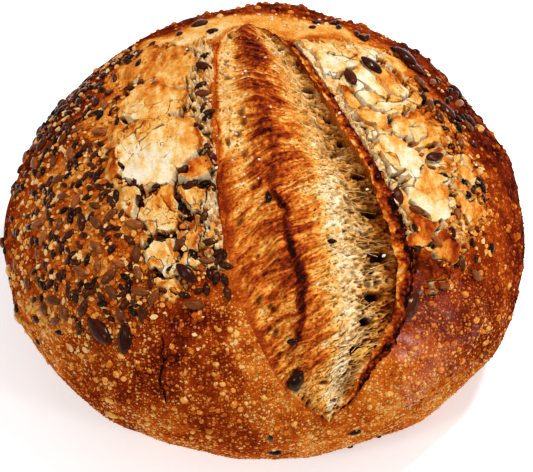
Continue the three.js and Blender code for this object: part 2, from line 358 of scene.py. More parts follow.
# little round blisters of one size, as a mask and as a height
blisterField, given, result = newGroup("blisterField", {"Dots": "Float", "Height": "Float"}, Place="Vector",
                                       Scale="Float", Cover="Float")
bend = noiseAt(given["Place"], 0.9, 1.0)["Color"]
moved = addNode(blisterField, "ShaderNodeVectorMath", {"operation": "MULTIPLY_ADD"}, at0=bend,
                at1=(0.7, 0.7, 0.7), at2=given["Place"])
cells = addNode(blisterField, "ShaderNodeTexVoronoi", Vector=moved.outputs[0], Scale=given["Scale"])
pick = addNode(blisterField, "ShaderNodeSeparateColor", Color=cells.outputs["Color"])
inside = calc("SUBTRACT", times(pick.outputs[0], given["Cover"]), cells.outputs["Distance"])
plug(blisterField, result["Dots"], stepUp(inside, 0.0, 0.1))
plug(blisterField, result["Height"], stepUp(inside, -0.05, 0.4))


def newMaterial(name):
    material = bpy.data.materials.new(name)
    material.use_nodes = True
    tree = material.node_tree
    shader = tree.nodes["Principled BSDF"]
    place = addNode(tree, "ShaderNodeTexCoord").outputs["Object"]
    inMm = addNode(tree, "ShaderNodeVectorMath", {"operation": "SCALE"}, at0=place, Scale=1000.0).outputs[0]
    return material, tree, shader, inMm


def reading(tree, name):
    return addNode(tree, "ShaderNodeAttribute", {"attribute_name": name}).outputs["Fac"]


def setShader(tree, shader, **inputs):
    for name, value in inputs.items():
        plug(tree, shader.inputs[name.replace("_", " ")], value)


def doughShader(tree, shader, inMm, look, bake, shade, relief, roughness, **others):
    tone = useGroup(tree, bakeTone, Place=inMm, Bake=bake, Mottle=look["mottle"], Shade=shade)
    setShader(tree, shader, Base_Color=tone["Tone"], Roughness=roughness, Specular_IOR_Level=look["shine"],
              Normal=bumpOf(relief, look["relief"]), **others)


def bumpOf(height, distance):
    return addNode(height.id_data, "ShaderNodeBump", Height=height, Distance=distance * mm,
                   Strength=1.0).outputs["Normal"]


# Crust

crustLook = {
    "segments": 500, "rings": 196, "underPlates": 3.4,
    # how closely its rings lie, by the angle from the crown
    "ringShare": [(0, 0.25), (14, 0.25), (16, 1), (108, 1), (116, 0.6), (126, 0.12), (180, 0.06)],
    "bake": 0.66, "backRimBake": 0.86, "earFootBake": 0.85, "frontLipBake": 0.46, "leastBake": 0.24,
    "gloss": ((47, -50), (17, 20)),  # the shiny patch right of the cut
    # fine blisters in its material: scale, how much they cover, how pale and how high they are
    "blisters": [(0.36, 0.3, 0.9, 0.9), (0.62, 0.5, 1.0, 0.5), (1.2, 0.6, 0.6, 0.25)],
    "blisterBake": -0.46, "pitShade": 0.22, "pitDeep": 0.3, "grainHigh": 0.22, "mottle": 0.42, "shine": 0.0,
    "glaze": 0.8, "glossCoat": 0.4, "coatRoughness": 0.26, "coatTone": (1, 0.8, 0.6, 1), "relief": 1.9,
}
# zones of the crust that took more or less colour: middle, radii, bake and how surely
crustZones = [
    ((0, -94), (62, 14), 0.6, 0.9), ((-62, -72), (34, 14), 0.72, 0.8), ((66, -68), (30, 14), 0.6, 0.8),
    ((-20, -65), (26, 11), 0.87, 0.92), ((-4, -78), (30, 10), 0.74, 0.7), ((50, -48), (20, 24), 0.82, 0.95),
    ((-44, -62), (14, 10), 0.7, 0.7), ((20, -88), (26, 6), 0.52, 0.6), ((-56, -6), (20, 46), 0.54, 0.9),
    ((-40, 40), (20, 16), 0.42, 0.9), ((-34, 12), (20, 46), 0.42, 0.9), ((44, 8), (24, 42), 0.44, 0.9),
    ((44, -34), (12, 12), 0.66, 0.8), ((0, 56), (40, 9), 0.34, 0.9), ((-24, 52), (20, 9), 0.26, 0.8),
    ((2, -77), (10, 7), 0.46, 0.7), ((-6, -62), (5, 9), 0.5, 0.6), ((84, 8), (13, 50), 0.84, 0.9),
    ((-84, 6), (14, 50), 0.69, 0.9), ((-62, 38), (12, 22), 0.68, 0.85), ((-70, -48), (12, 14), 0.52, 0.85),
]


def crustBake(points, u, v):
    bake = np.full(len(u), crustLook["bake"])
    edge = lumps(points, 12, 31, 3) * 0.28
    for middle, radii, value, share in crustZones:
        bake += (value - bake) * share * soft(1.25, 0.7, inOval(u, v, middle, radii) + edge)
    backRim = soft(60, 66, np.hypot(u, v) - 12 * edge) * soft(-10, 14, v)
    bake += (crustLook["backRimBake"] - bake) * 0.95 * backRim
    return bake + lumps(points, 20, 70, 3) * 0.08 + lumps(points, 7, 71, 3) * 0.08


def glossAt(points, u, v):
    return soft(1.2, 0.4, inOval(u, v, *crustLook["gloss"]) + 0.6 * lumps(points, 9, 36, 3))


# The floury plates lie either side of the cut; the crust dips under them

platesLook = {
    "columns": 156, "rows": 416, "proud": 1.6, "crack": 0.66, "wall": 0.42, "root": 3.5, "chunk": 4.2,
    "perDegree": 1.66, "brokenSize": 6.8, "wallBake": 0.1, "deepest": -1.6, "smooth": 36,
    # hair cracks: size and salt of their cells, where off the border they begin and end, the cells without
    "hairlines": [(8.5, 20, 0.035, 0.012, 0.6), (3.4, 22, 0.05, 0.02, 0.72)],
}
# Of each plate: u, v, reach in degrees, how toasted, how much it lifts, how wide its cracks are. "reach" is
# how far out they go, as (v, u) from the back to the front, and "strip" the crumbled flour along the lip, mm.
leftHalf = {
    "side": -1, "lip": "leftLip", "strip": 7.4, "overLip": 0.5, "ragged": 8, "proud": 1, "whole": 0.5,
    "bareFrom": (8, 16),
    "plates": [
        (-20, 46, 8, 0.22, 0.2, 0.8), (-30, 33, 8.5, 0.3, 0.1, 0.3), (-42, 39, 7, 0.38, 0, 0.2),
        (-38, 17, 8.5, 0.3, 0.2, 0.3), (-28, 9, 3.5, 0.4, 0.5, 0.8), (-25, 18, 3.5, 0.24, 0.4, 0.8),
        (-36, -4, 10, 0.2, 0.8, 1.2), (-48, -7, 4, 0.46, 0.7, 1.2), (-49, 5, 5, 0.36, 0, 0.6),
        (-25, -14, 4.5, 0.38, 0.7, 1.3), (-44, -21, 4, 0.26, 0.3, 1.1), (-37, -19, 3, 0.32, 0.6, 1.1),
        (-33, -28, 6, 0.24, 0.5, 1.2), (-23, -26, 5, 0.15, 0.6, 1.2), (-21, -36, 5, 0.42, 0.6, 1.2),
        (-39, -33, 3.5, 0.28, 0.1, 1), (-32, -40, 4.5, 0.17, 0, 1), (-26, -44, 3.5, 0.26, 0, 1),
        (-29, -50, 3.5, 0.26, 0, 1),
    ],
    "reach": [(54, -20), (50, -32), (46, -44), (38, -50), (29, -54), (15, -56), (1, -55), (-11, -53),
              (-21, -50), (-28, -46), (-37, -42), (-43, -38), (-49, -34), (-56, -28)],
}
rightHalf = {
    "side": 1, "lip": "rightLip", "strip": 5, "overLip": 2.2, "ragged": 4, "proud": 0.72, "whole": 0.66,
    "bareFrom": (16, 34),
    "plates": [
        (20, 39, 8, 0.2, 0.5, 1), (32, 42, 5, 0.18, 0.2, 1), (41, 24, 8.5, 0.2, 0.6, 1.2),
        (44, 38, 4, 0.3, 0, 1), (29, 18, 3.5, 0.42, 0.7, 1.2), (37, 10, 4, 0.32, 0.4, 1),
        (33, 4, 3.5, 0.12, 0.1, 1.2), (50, 8, 7, 0.3, 0.5, 1), (44, -4, 6.5, 0.16, 0.6, 1),
        (54, -2, 4.5, 0.32, 0.2, 0.8), (51, -16, 6.5, 0.24, 0.5, 1), (43, -22, 4.5, 0.22, 0.2, 1),
        (59, -11, 3, 0.34, 0.4, 1), (62, -3, 3.5, 0.28, 0, 0.8), (62, -16, 3.5, 0.28, 0, 0.8),
        (47, -29, 4.5, 0.46, 0.3, 1), (54, -32, 4, 0.55, 0.1, 1), (48, -40, 5.5, 0.58, 0.2, 0.9),
    ],
    "reach": [(54, 22), (50, 40), (45, 52), (31, 56), (21, 60), (10, 66), (2, 71), (-7, 73), (-17, 71),
              (-27, 65), (-36, 59), (-42, 54), (-50, 48)],
}


def plateAt(points, half):  # the plate that owns a place, the next one, and how far inside its border it is
    plates = np.array(half["plates"], float)
    middles = skinAt(plates[:, 0], plates[:, 1])[0]
    reach = plates[:, 2] * platesLook["perDegree"]
    far = np.linalg.norm(points[:, None] - middles[None], axis=2)
    power = far ** 2 - reach ** 2
    first, second = np.argsort(power, axis=1)[:, :2].T
    pick = np.arange(len(points))
    apart = np.linalg.norm(middles[first] - middles[second], axis=1)
    edge = (power[pick, second] - power[pick, first]) / (2 * apart)
    rim = reach[first] * 1.08 - far[pick, first]
    return first, second, edge, rim, (points - middles[first]) / reach[first][:, None]


def plateZone(u, v, half):  # 0 at the outer border to 1 at the lip, the ragged border, mm out from the lip
    farV, farU = zip(*half["reach"][::-1])
    fromEdge = fromLip(half["lip"], u, v)
    toReach = half["side"] * (np.interp(v, farV, farU) - u)
    inner = 1 - fromEdge / np.maximum(fromEdge + toReach, 1e-3)
    fringe = lumps(skinAt(u, v)[0], 7, 130 + half["side"], 3)
    ends = soft(farV[-1], farV[-1] - 9, v + fringe * 5) * soft(farV[0], farV[0] + 10, v + fringe * 5)
    return inner, soft(0.02, 0.2, inner + fringe * 0.1) * ends, fromEdge * 1.3


crust = startFrom(bpy.ops.mesh.primitive_uv_sphere_add, "crust", segments=crustLook["segments"],
                  ring_count=crustLook["rings"], radius=100 * mm)
places = placesOf(crust)
turn = np.arctan2(places[:, 1], places[:, 0])
ring = np.arccos(np.clip(places[:, 2] / 100, -1, 1)) / np.pi
angles = np.linspace(0, 180, 721)
lengths = np.linalg.norm(np.diff(skinAt(angles, angles * 0)[0], axis=0), axis=1)
shares = np.interp(angles, *zip(*crustLook["ringShare"]))
steps = np.r_[0, np.cumsum(np.maximum(lengths, 0.02) * shares[1:])]
away = np.interp(ring, steps / steps[-1], angles)
u, v = away * np.cos(turn), away * np.sin(turn)
height = ground(u, v)
for half in (leftHalf, rightHalf):
    inner, border, fromEdge = plateZone(u, v, half)
    lipSide = soft(1.0 - 0.5 * half["side"], 2.6 - half["side"], fromEdge)
    height = height - crustLook["underPlates"] * soft(0.45, 0.95, border) * lipSide * (inner < 1)
setPlaces(crust, skinAt(u, v, height)[0])

cutter, across, back = gridSheet("cutter", 2, 300)
spots = inCut(0.008 + 0.984 * (1 - back), across, cutForm["wobble"])
setPlaces(cutter, skinAt(spots[:, 0], spots[:, 1])[0])
bpy.ops.object.mode_set(mode="EDIT")
bpy.ops.mesh.select_all(action="SELECT")
bpy.ops.mesh.extrude_region_move()
bpy.ops.object.mode_set(mode="OBJECT")
raised = [x.select for x in cutter.data.vertices]
u, v = degreesOf(placesOf(cutter))
setPlaces(cutter, skinAt(u, v, np.where(raised, 12, -cutForm["depth"]))[0])
outwards(cutter)
opening = crust.modifiers.new("opening", "BOOLEAN")
opening.object = cutter
opening.operation = "DIFFERENCE"
opening.solver = "MANIFOLD"
bpy.context.view_layer.objects.active = crust
bpy.ops.object.modifier_apply(modifier="opening")
bpy.data.objects.remove(cutter)

places = placesOf(crust)
u, v = degreesOf(places)
bake = crustBake(places, u, v)
leftOff, rightOff = fromLip("leftLip", u, v), fromLip("rightLip", u, v)
beside = soft(-84, -76, v) * soft(60, 52, v)
earFoot = soft(3.2, 0.5, np.abs(rightOff - 4.4)) * soft(-72, -62, v) * soft(2, -20, v)
bake = bake + (crustLook["earFootBake"] + 0.1 * lumps(places, 2, 9) - bake) * earFoot * beside
bake = bake + 0.1 * soft(3.5, 0, np.abs(leftOff)) * beside * soft(-30, -10, v)
frontLip = soft(7, 1, leftOff) * soft(-50, -64, v) * beside * 0.7
bake = bake + (crustLook["frontLipBake"] + 0.1 * lumps(places, 3, 12, 2) - bake) * frontLip
below = np.linalg.norm(skinAt(u, v)[0] - heart, axis=1) - np.linalg.norm(places - heart, axis=1)
front = soft(46, 60, np.hypot(u, v)) * soft(-8, -34, v + 0.25 * np.abs(u - 10))
thick = soft(-0.5, 0.6, lumps(places, 14, 35, 3))
keepValues(crust, bake=bake, shade=soft(2.2, 5, below) * beside, blister=0.3 + (0.35 + 0.45 * thick) * front,
           gloss=glossAt(places, u, v))

crustMaterial, tree, shader, inMm = newMaterial("bakedCrust")
blister = reading(tree, "blister")
grain = noiseAt(inMm, 2.6, 4.0, 0.7)["Fac"]
pits = addNode(tree, "ShaderNodeTexVoronoi", Vector=inMm, Scale=0.8)
pit = stepUp(pits.outputs["Distance"], 0.1, 0.02)
dots, heights, bumps = [], [], []
for scale, cover, pale, high in crustLook["blisters"]:
    field = useGroup(tree, blisterField, Place=inMm, Scale=scale, Cover=cover)
    dots.append(times(field["Dots"], pale))
    heights.append(field["Height"])
    bumps.append(times(field["Height"], high))
paler = times(times(reduce(most, dots), blister), crustLook["blisterBake"])
# painted shade: the small pits are darkened as well as sunk
bakeAndPitShade = plus(plus(reading(tree, "bake"), paler), times(pit, crustLook["pitShade"]))
relief = plus(times(reduce(plus, bumps), blister), times(grain, crustLook["grainHigh"]))
glaze = times(times(most(*heights[:2]), blister), crustLook["glaze"])
coat = most(glaze, times(reading(tree, "gloss"), crustLook["glossCoat"]))
doughShader(tree, shader, inMm, crustLook, most(bakeAndPitShade, crustLook["leastBake"]), reading(tree, "shade"),
            calc("SUBTRACT", relief, times(pit, crustLook["pitDeep"])), stepUp(grain, 0.2, 0.8, 0.2, 0.42),
            Coat_Weight=coat, Coat_Roughness=crustLook["coatRoughness"], Coat_Tint=crustLook["coatTone"])
finishPiece(crust, crustMaterial)


# Crumb: the torn inside that swelled up through the cut, its fibres pulled from lip to lip

crumbLook = {
    "columns": 164, "rows": 540, "ends": 0.012, "reach": (-0.12, 1.05),
    "profile": [(0, -2.6), (0.14, -0.6), (0.36, 3.4), (0.56, 2.4), (0.72, -1.6), (0.88, -6.8), (1, -5)],
    "ropes": 0.5, "slant": (0.2, -0.76), "crestHigh": 2.0, "crestBake": 0.82, "burnt": 0.1, "clotted": 0.17,
    "weights": (0.36, 0.3, 0.26, 0.12),  # how high ropes, strings, hairs and crumbs stand
    "crest": [(-4, 44), (-2, 15), (1, -8), (2, -22), (7, -31), (7, -35), (8, -40), (9, -44), (10, -48),
              (11, -52), (11, -58), (10, -62), (8, -66)],
    "holes": [  # cell width and height, how many cells are holes, reach, depth, and where across the cut
        (3.6, 0.9, 0.2, 0.5, 0.9, (0.48, 0.6, 0.8, 0.9)), (1.6, 0.8, 0.25, 0.45, 0.6, (0.16, 0.3, 0.6, 0.7)),
        (5.0, 4.0, 0.3, 0.46, 1.3, (0.03, 0.07, 0.2, 0.3)), (1.3, 1.0, 0.3, 0.45, 0.6, (0, 0.04, 0.16, 0.26)),
        (2.2, 1.5, 0.3, 0.46, 1.6, (0.68, 0.8, 1.1, 1.2)), (0.9, 0.7, 0.2, 0.45, 0.4, (0.1, 0.2, 1.1, 1.2)),
    ],
    # open mesh: cell width and height, share of cells that are open, depth, how much painted shade they get,
    # where across it begins
    "web": [(4.4, 2.8, 0.45, 1.3, 0.8, (0.64, 0.8)), (2.2, 1.4, 0.5, 0.7, 0.7, (0.58, 0.72)),
            (1.7, 0.8, 0.6, 0.35, 0.5, (0.02, 0.1))],
    # big holes along the foot of the ear and at the front: direction, half length and half width
    "caves": [((-8, 53), 2.6, 0.7), ((-12, 48), 2.2, 0.8), ((5, 45), 2.6, 1.2), ((12, 37), 3.2, 1.3),
              ((16, 26), 3.0, 1.4), ((24, 12), 3.0, 1.3), ((29, 2), 3.6, 1.7), ((33, -12), 3.4, 1.6),
              ((36, -25), 4.0, 2.0), ((37, -38), 4.2, 2.2), ((34, -50), 4.4, 2.2), ((31, -57), 3.4, 1.6),
              ((28, -64), 4.0, 2.0), ((24, -70), 2.6, 0.9), ((21, -76), 2.4, 0.8), ((17, -72), 1.8, 0.8),
              ((19, -79), 1.4, 0.6)],
    "caveDepth": 4.0,
    # how toasted it is from the left lip to the right one, at the back, in front and at the front tip
    "toastBack": [(0, 0.6), (0.015, 0.46), (0.035, 0.24), (0.14, 0.26), (0.22, 0.42), (0.34, 0.56),
                  (0.46, 0.56), (0.56, 0.46), (0.66, 0.3), (0.8, 0.24), (0.92, 0.3), (1, 0.42)],
    "toastFront": [(0, 0.58), (0.015, 0.46), (0.04, 0.48), (0.13, 0.46), (0.19, 0.49), (0.28, 0.5),
                   (0.38, 0.55), (0.46, 0.5), (0.54, 0.38), (0.61, 0.23), (0.7, 0.15), (0.82, 0.24),
                   (0.92, 0.36), (1, 0.46)],
    "toastTip": [(0, 0.48), (0.2, 0.42), (0.42, 0.34), (0.56, 0.14), (0.8, 0.14), (0.93, 0.3), (1, 0.46)],
    "threadTurn": -0.36, "threadStretch": (0.24, 1.5, 1.5), "poreScale": 0.62, "mottle": 0.26, "shine": 0.03,
    "roughness": 0.7, "relief": 0.6,
}


def crumbBody(along, across):
    places, heights = zip(*crumbLook["profile"])
    inside = np.clip(across, 0, 1)
    k = np.clip(np.searchsorted(places, inside, "left"), 1, len(places) - 1)
    low, high = np.array(places)[k - 1], np.array(places)[k]
    start, end = np.array(heights)[k - 1], np.array(heights)[k]
    body = start + (end - start) * soft(0, 1, (inside - low) / (high - low))
    tips = np.sin(np.pi * np.clip(along, 0, 1)) ** 0.6
    ropes = crumbLook["ropes"] * np.sin(along * 62 + across * 8) * np.sin(np.pi * inside)
    # level with the crust along the left lip in front, and at both tips
    body = body + 2.5 * soft(0.48, 0.64, along) * soft(0.22, 0, inside)
    body = body + 3.6 * (soft(0.8, 0.93, along) + soft(0.34, 0.08, along)) * soft(0.6, 0.88, inside)
    return (body + ropes) * tips - 0.1 * (1 - tips)


crumb, across, back = gridSheet("crumb", crumbLook["columns"], crumbLook["rows"])
along = crumbLook["ends"] + (1 - 2 * crumbLook["ends"]) * (1 - back)
across = crumbLook["reach"][0] + (crumbLook["reach"][1] - crumbLook["reach"][0]) * across
u, v = inCut(along, across, cutForm["wobble"]).T
skin = skinAt(u, v)[0]
middle = skinAt(*inCut(np.linspace(0, 1, 200), np.full(200, 0.5)).T)[0]
run = np.r_[0, np.cumsum(np.linalg.norm(np.diff(middle, axis=0), axis=1))]
lips = [skinAt(*lipAt(name, along).T)[0] for name in ("leftLip", "rightLip")]
fx = (across - 0.5) * np.linalg.norm(lips[0] - lips[1], axis=1)  # millimetres across the cut
slant = crumbLook["slant"][0] + crumbLook["slant"][1] * soft(0.22, 0.5, along)
fy = np.interp(along, np.linspace(0, 1, 200), run) - fx * slant
inPlane = along3(fx, fy)
drift = lumps(inPlane, 9, 3, 2) * 1.6


def fibre(long, wide, layer, salt, octaves=1):  # noise drawn out along the fibres
    return lumps(along3(fx / long, (fy + drift) / wide, layer), 1, salt, octaves)


ropy, stringy, hairy = fibre(10, 2.3, 7, 21), 1 - np.abs(fibre(11, 1.2, 3, 22)) * 2, fibre(8, 0.75, 9, 23, 2)
lumpy, crumbly = lumps(inPlane, 6, 24, 2), lumps(inPlane, 1.1, 25, 2)
calm = (1 - 0.6 * soft(0.62, 0.8, across)) * (1 - 0.3 * soft(0.5, 0.6, across))
body = crumbBody(along, across)
fibres = sum(weight * noise for weight, noise in zip(crumbLook["weights"], (ropy, stringy, hairy, crumbly)))
height = body + 0.45 * lumpy + fibres * calm
# painted shade that the holes, the open web and the caves get
holeShade = np.zeros(len(fx))
onWeb = soft(0, 0.06, along) * soft(1.02, 0.94, along)
for k, (wide, high, share, depth, shadeShare, begins) in enumerate(crumbLook["web"]):
    cells = np.stack([(fx + 0.8 * lumpy) / wide, (fy + drift) / high], -1)
    near, nextNear, number, _ = cellsAt(cells, 1, 150 + 13 * k)
    hole = soft(0.05, 0.5, nextNear - near) * soft(*begins, across) * onWeb
    hole = hole * soft(1 - share, 1.05 - share, number)
    height = height - depth * hole
    holeShade = np.maximum(holeShade, hole * (0.5 + 0.4 * number) * shadeShare)
for k, (wide, high, share, reach, depth, (a0, a1, a2, a3)) in enumerate(crumbLook["holes"]):
    first, _, number, _ = cellsAt(np.stack([fx / wide, (fy + drift) / high], -1), 1, 50 + 13 * k)
    where = soft(a0, a1, across) * soft(a3, a2, across) * (number < share)
    hole = soft(reach * (0.55 + number / share * 0.6), 0.08, first) * where
    height = height - depth * hole
    holeShade = np.maximum(holeShade, hole)
for k, ((atU, atV), long, wide) in enumerate(crumbLook["caves"]):
    far = skin - skinAt(np.array(atU), np.array(atV))[0]
    ragged = 1 + 0.35 * lumps(inPlane, 1.6, 90 + k, 2)
    hole = soft(1.25, 0.5, np.hypot(far[:, 0] / long, np.hypot(far[:, 1], far[:, 2]) / wide) * ragged)
    height = height - crumbLook["caveDepth"] * min(1, wide / 1.4) * hole
    holeShade = np.maximum(holeShade, hole)
tips = soft(0, 0.03, along) * soft(1, 0.97, along) * (1 - soft(0.6, 0.75, along) * soft(0.1, 0, across))
height = np.where(tips < 1, body + (height - body) * tips, height)
# its left border dips under the crust
inFront = soft(0.46, 0.56, along)
height = height - inFront * 2.2 * soft(0, -0.12, across)
height = height - (1 - inFront) * 5 * soft(-0.02, -0.08, across)

toastAndShade = np.interp(across, *zip(*crumbLook["toastBack"]))
for name, (low, high) in (("toastFront", (0.38, 0.52)), ("toastTip", (0.84, 0.93))):
    toastAndShade += (np.interp(across, *zip(*crumbLook[name])) - toastAndShade) * soft(low, high, along)
warm = soft(0.2, 0.5, toastAndShade)
toastAndShade = toastAndShade + (0.06 * ropy + 0.15 * stringy + 0.15 * hairy + 0.1 * crumbly) * (0.4 + 0.6 * warm)
toastAndShade = toastAndShade + 0.12 * lumpy * warm
burnt = soft(0.05, 0.5, lumps(inPlane, 5, 61, 4)) * soft(0.14, 0.3, across) * soft(0.6, 0.5, across)
toastAndShade = toastAndShade + crumbLook["burnt"] * burnt * soft(0.7, 0.4, along) - 0.06
# the torn crest: a ridge that caught the heat
crestV, crestU = np.array(crumbLook["crest"]).T[::-1]
offCrest = (u - np.interp(-v, -crestV, crestU)) * 1.5 + lumps(inPlane, 4, 66, 3) * 1.6
onRun = soft(-14, -30, v) * soft(-69, -62, v)
torn = 0.5 + 0.5 * lumps(along3(fx * 0.6, fy), 1.8, 68, 3)
height = height + crumbLook["crestHigh"] * soft(2.2, 0, np.abs(offCrest)) * onRun * torn
height = height - 0.9 * soft(1.6, 0, np.abs(offCrest + 2.4)) * onRun * tips
around = soft(11, 0.5, np.abs(offCrest + 1)) * soft(54, 44, v) * soft(-68, -58, v)
crestBake = crumbLook["crestBake"] + 0.14 * hairy
toastAndShade = toastAndShade + 0.1 * around + (crestBake - toastAndShade) * soft(2.7, 0.5, np.abs(offCrest)) * onRun
clotted = soft(-0.2, 0.4, lumps(inPlane, 2.6, 69, 3)) * soft(5.5, 1, np.abs(offCrest))
toastAndShade = toastAndShade + crumbLook["clotted"] * clotted * soft(52, 46, v) * soft(-22, -14, v)
# in front the left border is one with the crust
toastAndShade = toastAndShade + (crustBake(skin, u, v) - toastAndShade) * inFront * soft(0.07, 0.0, across + 0.03 * lumpy)
toastAndShade = toastAndShade + (0.36 - toastAndShade) * 0.8 * soft(0.06, 0.02, along)
# painted shade: the holes turn a darker toast, and the holes and the deep groove get shade
toastAndShade = toastAndShade + 0.16 * holeShade * soft(0.4, 0.2, toastAndShade)
setPlaces(crumb, skinAt(u, v, height + ground(u, v))[0])
keepValues(crumb, bake=np.clip(toastAndShade, 0.05, 1), shade=np.clip(0.85 * holeShade + 0.2 * soft(-4, -8, height), 0, 1))
closeBelow(crumb, cutForm["depth"] + 8)

crumbMaterial, tree, shader, inMm = newMaterial("tornCrumb")
grain = noiseAt(inMm, 2.2, 4.0, 0.7)["Fac"]
turned = addNode(tree, "ShaderNodeVectorRotate", {"rotation_type": "Z_AXIS"}, Vector=inMm,
                 Angle=crumbLook["threadTurn"])
drawnOut = addNode(tree, "ShaderNodeVectorMath", {"operation": "MULTIPLY"}, at0=turned.outputs[0],
                   at1=crumbLook["threadStretch"]).outputs[0]
threads = noiseAt(drawnOut, 1.0, 3.0, 0.6)["Fac"]
pores = addNode(tree, "ShaderNodeTexVoronoi", Vector=drawnOut, Scale=crumbLook["poreScale"])
pick = addNode(tree, "ShaderNodeSeparateColor", Color=pores.outputs["Color"])
pore = times(stepUp(pores.outputs["Distance"], 0.24, 0.1), stepUp(pick.outputs[0], 0.72, 0.85))
# painted shade: the pores are darkened, in the tone and in shade, as well as sunk
shift = plus(times(calc("SUBTRACT", threads, 0.5), 0.5), times(pore, 0.12))
relief = calc("SUBTRACT", plus(times(threads, 0.7), times(grain, 0.3)), times(pore, 0.5))
doughShader(tree, shader, inMm, crumbLook, plus(reading(tree, "bake"), shift),
            most(reading(tree, "shade"), times(pore, 0.6)), relief, crumbLook["roughness"])
finishPiece(crumb, crumbMaterial, 70)

# gluten strands drawn out across the open web

strandsLook = {
    "count": 130, "sides": 5, "joints": 7, "radius": 0.11, "acrossCut": 42, "startsAlong": (0.12, 0.97),
    "startsAcross": (0.6, 0.95), "length": (2.5, 8), "slope": (0.02, 0.012), "arch": (0, 0.5), "sunk": 0.4,
    "thick": (0.6, 1.3), "bake": (0.12, 0.32),
}


def strandLine(along, across, k):  # the middles of one strand's joints, and which way is up there
    look = strandsLook
    long, slope = drawn.uniform(*look["length"]), drawn.normal(*look["slope"])
    high = drawn.uniform(*look["arch"])
    share = np.linspace(-0.5, 0.5, look["joints"])
    runAlong = along - slope * share + 0.003 * np.sin(share * 9 + k)
    runAcross = np.clip(across + share * long / look["acrossCut"], 0.5, 1.0)
    u, v = inCut(runAlong, runAcross).T
    surface = skinAt(u, v, crumbBody(runAlong, runAcross) + ground(u, v) - look["sunk"])[0]
    bridge = surface[:1] + (surface[-1:] - surface[:1]) * (share[:, None] + 0.5)
    out = skinAt(u, v)[1]
    arch = out * (high * (1 - 4 * share[:, None] ** 2))
    return np.where(bridge[:, 2:] > surface[:, 2:], bridge, surface) + arch, out, share


def strandRings(centres, out, thick):  # a ring of places round each joint
    forward = np.gradient(centres, axis=0)
    forward /= np.linalg.norm(forward, axis=1, keepdims=True)
    sideways = np.cross(forward, out)
    upwards = np.cross(sideways, forward)
    turns = 2 * np.pi * np.arange(strandsLook["sides"]) / strandsLook["sides"]
    around = sideways[:, None] * np.cos(turns)[:, None] + upwards[:, None] * np.sin(turns)[:, None]
    return (centres[:, None] + around * thick[:, None, None]).reshape(-1, 3)


drawn = np.random.default_rng(11)
rows, faces, bakes = [], [], []
sides, joints = strandsLook["sides"], strandsLook["joints"]
for k in range(strandsLook["count"]):
    atAlong = drawn.uniform(*strandsLook["startsAlong"])
    atAcross = drawn.uniform(*strandsLook["startsAcross"])
    if drawn.random() > 0.45 + 0.55 * (atAlong > 0.42):
        continue
    centres, out, share = strandLine(atAlong, atAcross, k)
    thick = strandsLook["radius"] * drawn.uniform(*strandsLook["thick"]) * (0.6 + 1.6 * np.abs(share))
    start = len(rows) * sides * joints
    rows.append(strandRings(centres, out, thick))
    for low in range(start, start + (joints - 1) * sides, sides):
        faces += [(low + s, low + (s + 1) % sides, low + sides + (s + 1) % sides, low + sides + s)
                  for s in range(sides)]
    last = start + (joints - 1) * sides
    faces += [tuple(range(start, start + sides)), tuple(range(last, last + sides))]
    bakes += [drawn.uniform(*strandsLook["bake"])] * (sides * joints)
strands = meshFrom("strands", np.concatenate(rows), faces)
keepValues(strands, bake=bakes, shade=0)
outwards(strands)
finishPiece(strands, crumbMaterial)


# The ear: the edge of crust that lifted along the right lip, torn thin, burnt along its outer foot

earLook = {
    "section": [(8.5, -2.0), (5.6, -0.4), (3.8, 1.0), (1.6, 2.6), (-0.8, 3.6), (-3.2, 4.0), (-4.0, 3.2),
                (-2.4, 1.6), (0.4, -0.4), (1.4, -4), (8.5, -2.0)],  # out of the cut and up, mm
    "span": (0.05, 0.96), "steps": (46, 620), "ragged": 0.55, "bake": 0.5, "scorch": 0.3, "blister": 0.36,
}


def earLine(share):
    low, high = earLook["span"]
    line = lipAt("rightLip", low + (high - low) * share)
    return line[:, 0], line[:, 1]


def earTone(along, outOf, high, places):
    front = soft(0.3, 0.55, along)
    noise, fine = lumps(places, 5, 81, 3), lumps(places, 1.2, 83, 2)
    bake = earLook["bake"] + 0.14 * noise + 0.26 * fine + 0.22 * soft(-3.4, -0.8, outOf)
    scorched = soft(5.8, 3.0, np.abs(outOf - 4.6 - 2.4 * noise)) * (0.35 + 0.65 * front)
    return bake + earLook["scorch"] * scorched, soft(0.6, -2, high) * soft(2.2, 0.8, outOf) * 0.85


ear, aroundShare, alongShare = gridSheet("ear", *earLook["steps"])
section = np.array(earLook["section"], float)
lengths = np.r_[0, np.cumsum(np.linalg.norm(np.diff(section, axis=0), axis=1))]
outOf, high = [np.interp(aroundShare * lengths[-1], lengths, column) for column in section.T]
here, ahead = earLine(alongShare), earLine(alongShare + 0.002)
point, out = skinAt(*here, ground(*here))
forward = skinAt(*ahead, ground(*ahead))[0] - point
forward /= np.linalg.norm(forward, axis=1, keepdims=True)
sideways = np.cross(out, forward)
size = 0.5 + 0.45 * soft(0.25, 0.55, alongShare)
size = np.sin(np.pi * np.clip(alongShare, 0, 1)) ** 0.6 * size
run = alongShare * cutForm["length"]
high = np.where(high > 0, high * (1 + earLook["ragged"] * lumps(along3(run, outOf), 7, 40, 4)), high)
wave = lumps(along3(run, 9), 9, 42, 2) * earLook["ragged"] * 2.2 * soft(0, 3, high)
places = point + sideways * ((outOf + wave) * size)[:, None] + out * (high * size)[:, None]
rough = lumps(places, 8, 44, 4) * 0.7 + lumps(places, 1.2, 45, 2) * 0.42
astray = lumps(places, 3, 46, 4) * 0.6
places = places + (out * (rough * soft(-1, 1, high))[:, None] + sideways * astray[:, None])
setPlaces(ear, places)
bake, shade = earTone(alongShare, outOf, high, places)
keepValues(ear, bake=bake, shade=shade, blister=earLook["blister"], gloss=0)
outwards(ear)
finishPiece(ear, crustMaterial, 70)


# Floury plates: the dry skin of flour and dough that cracked as the loaf grew

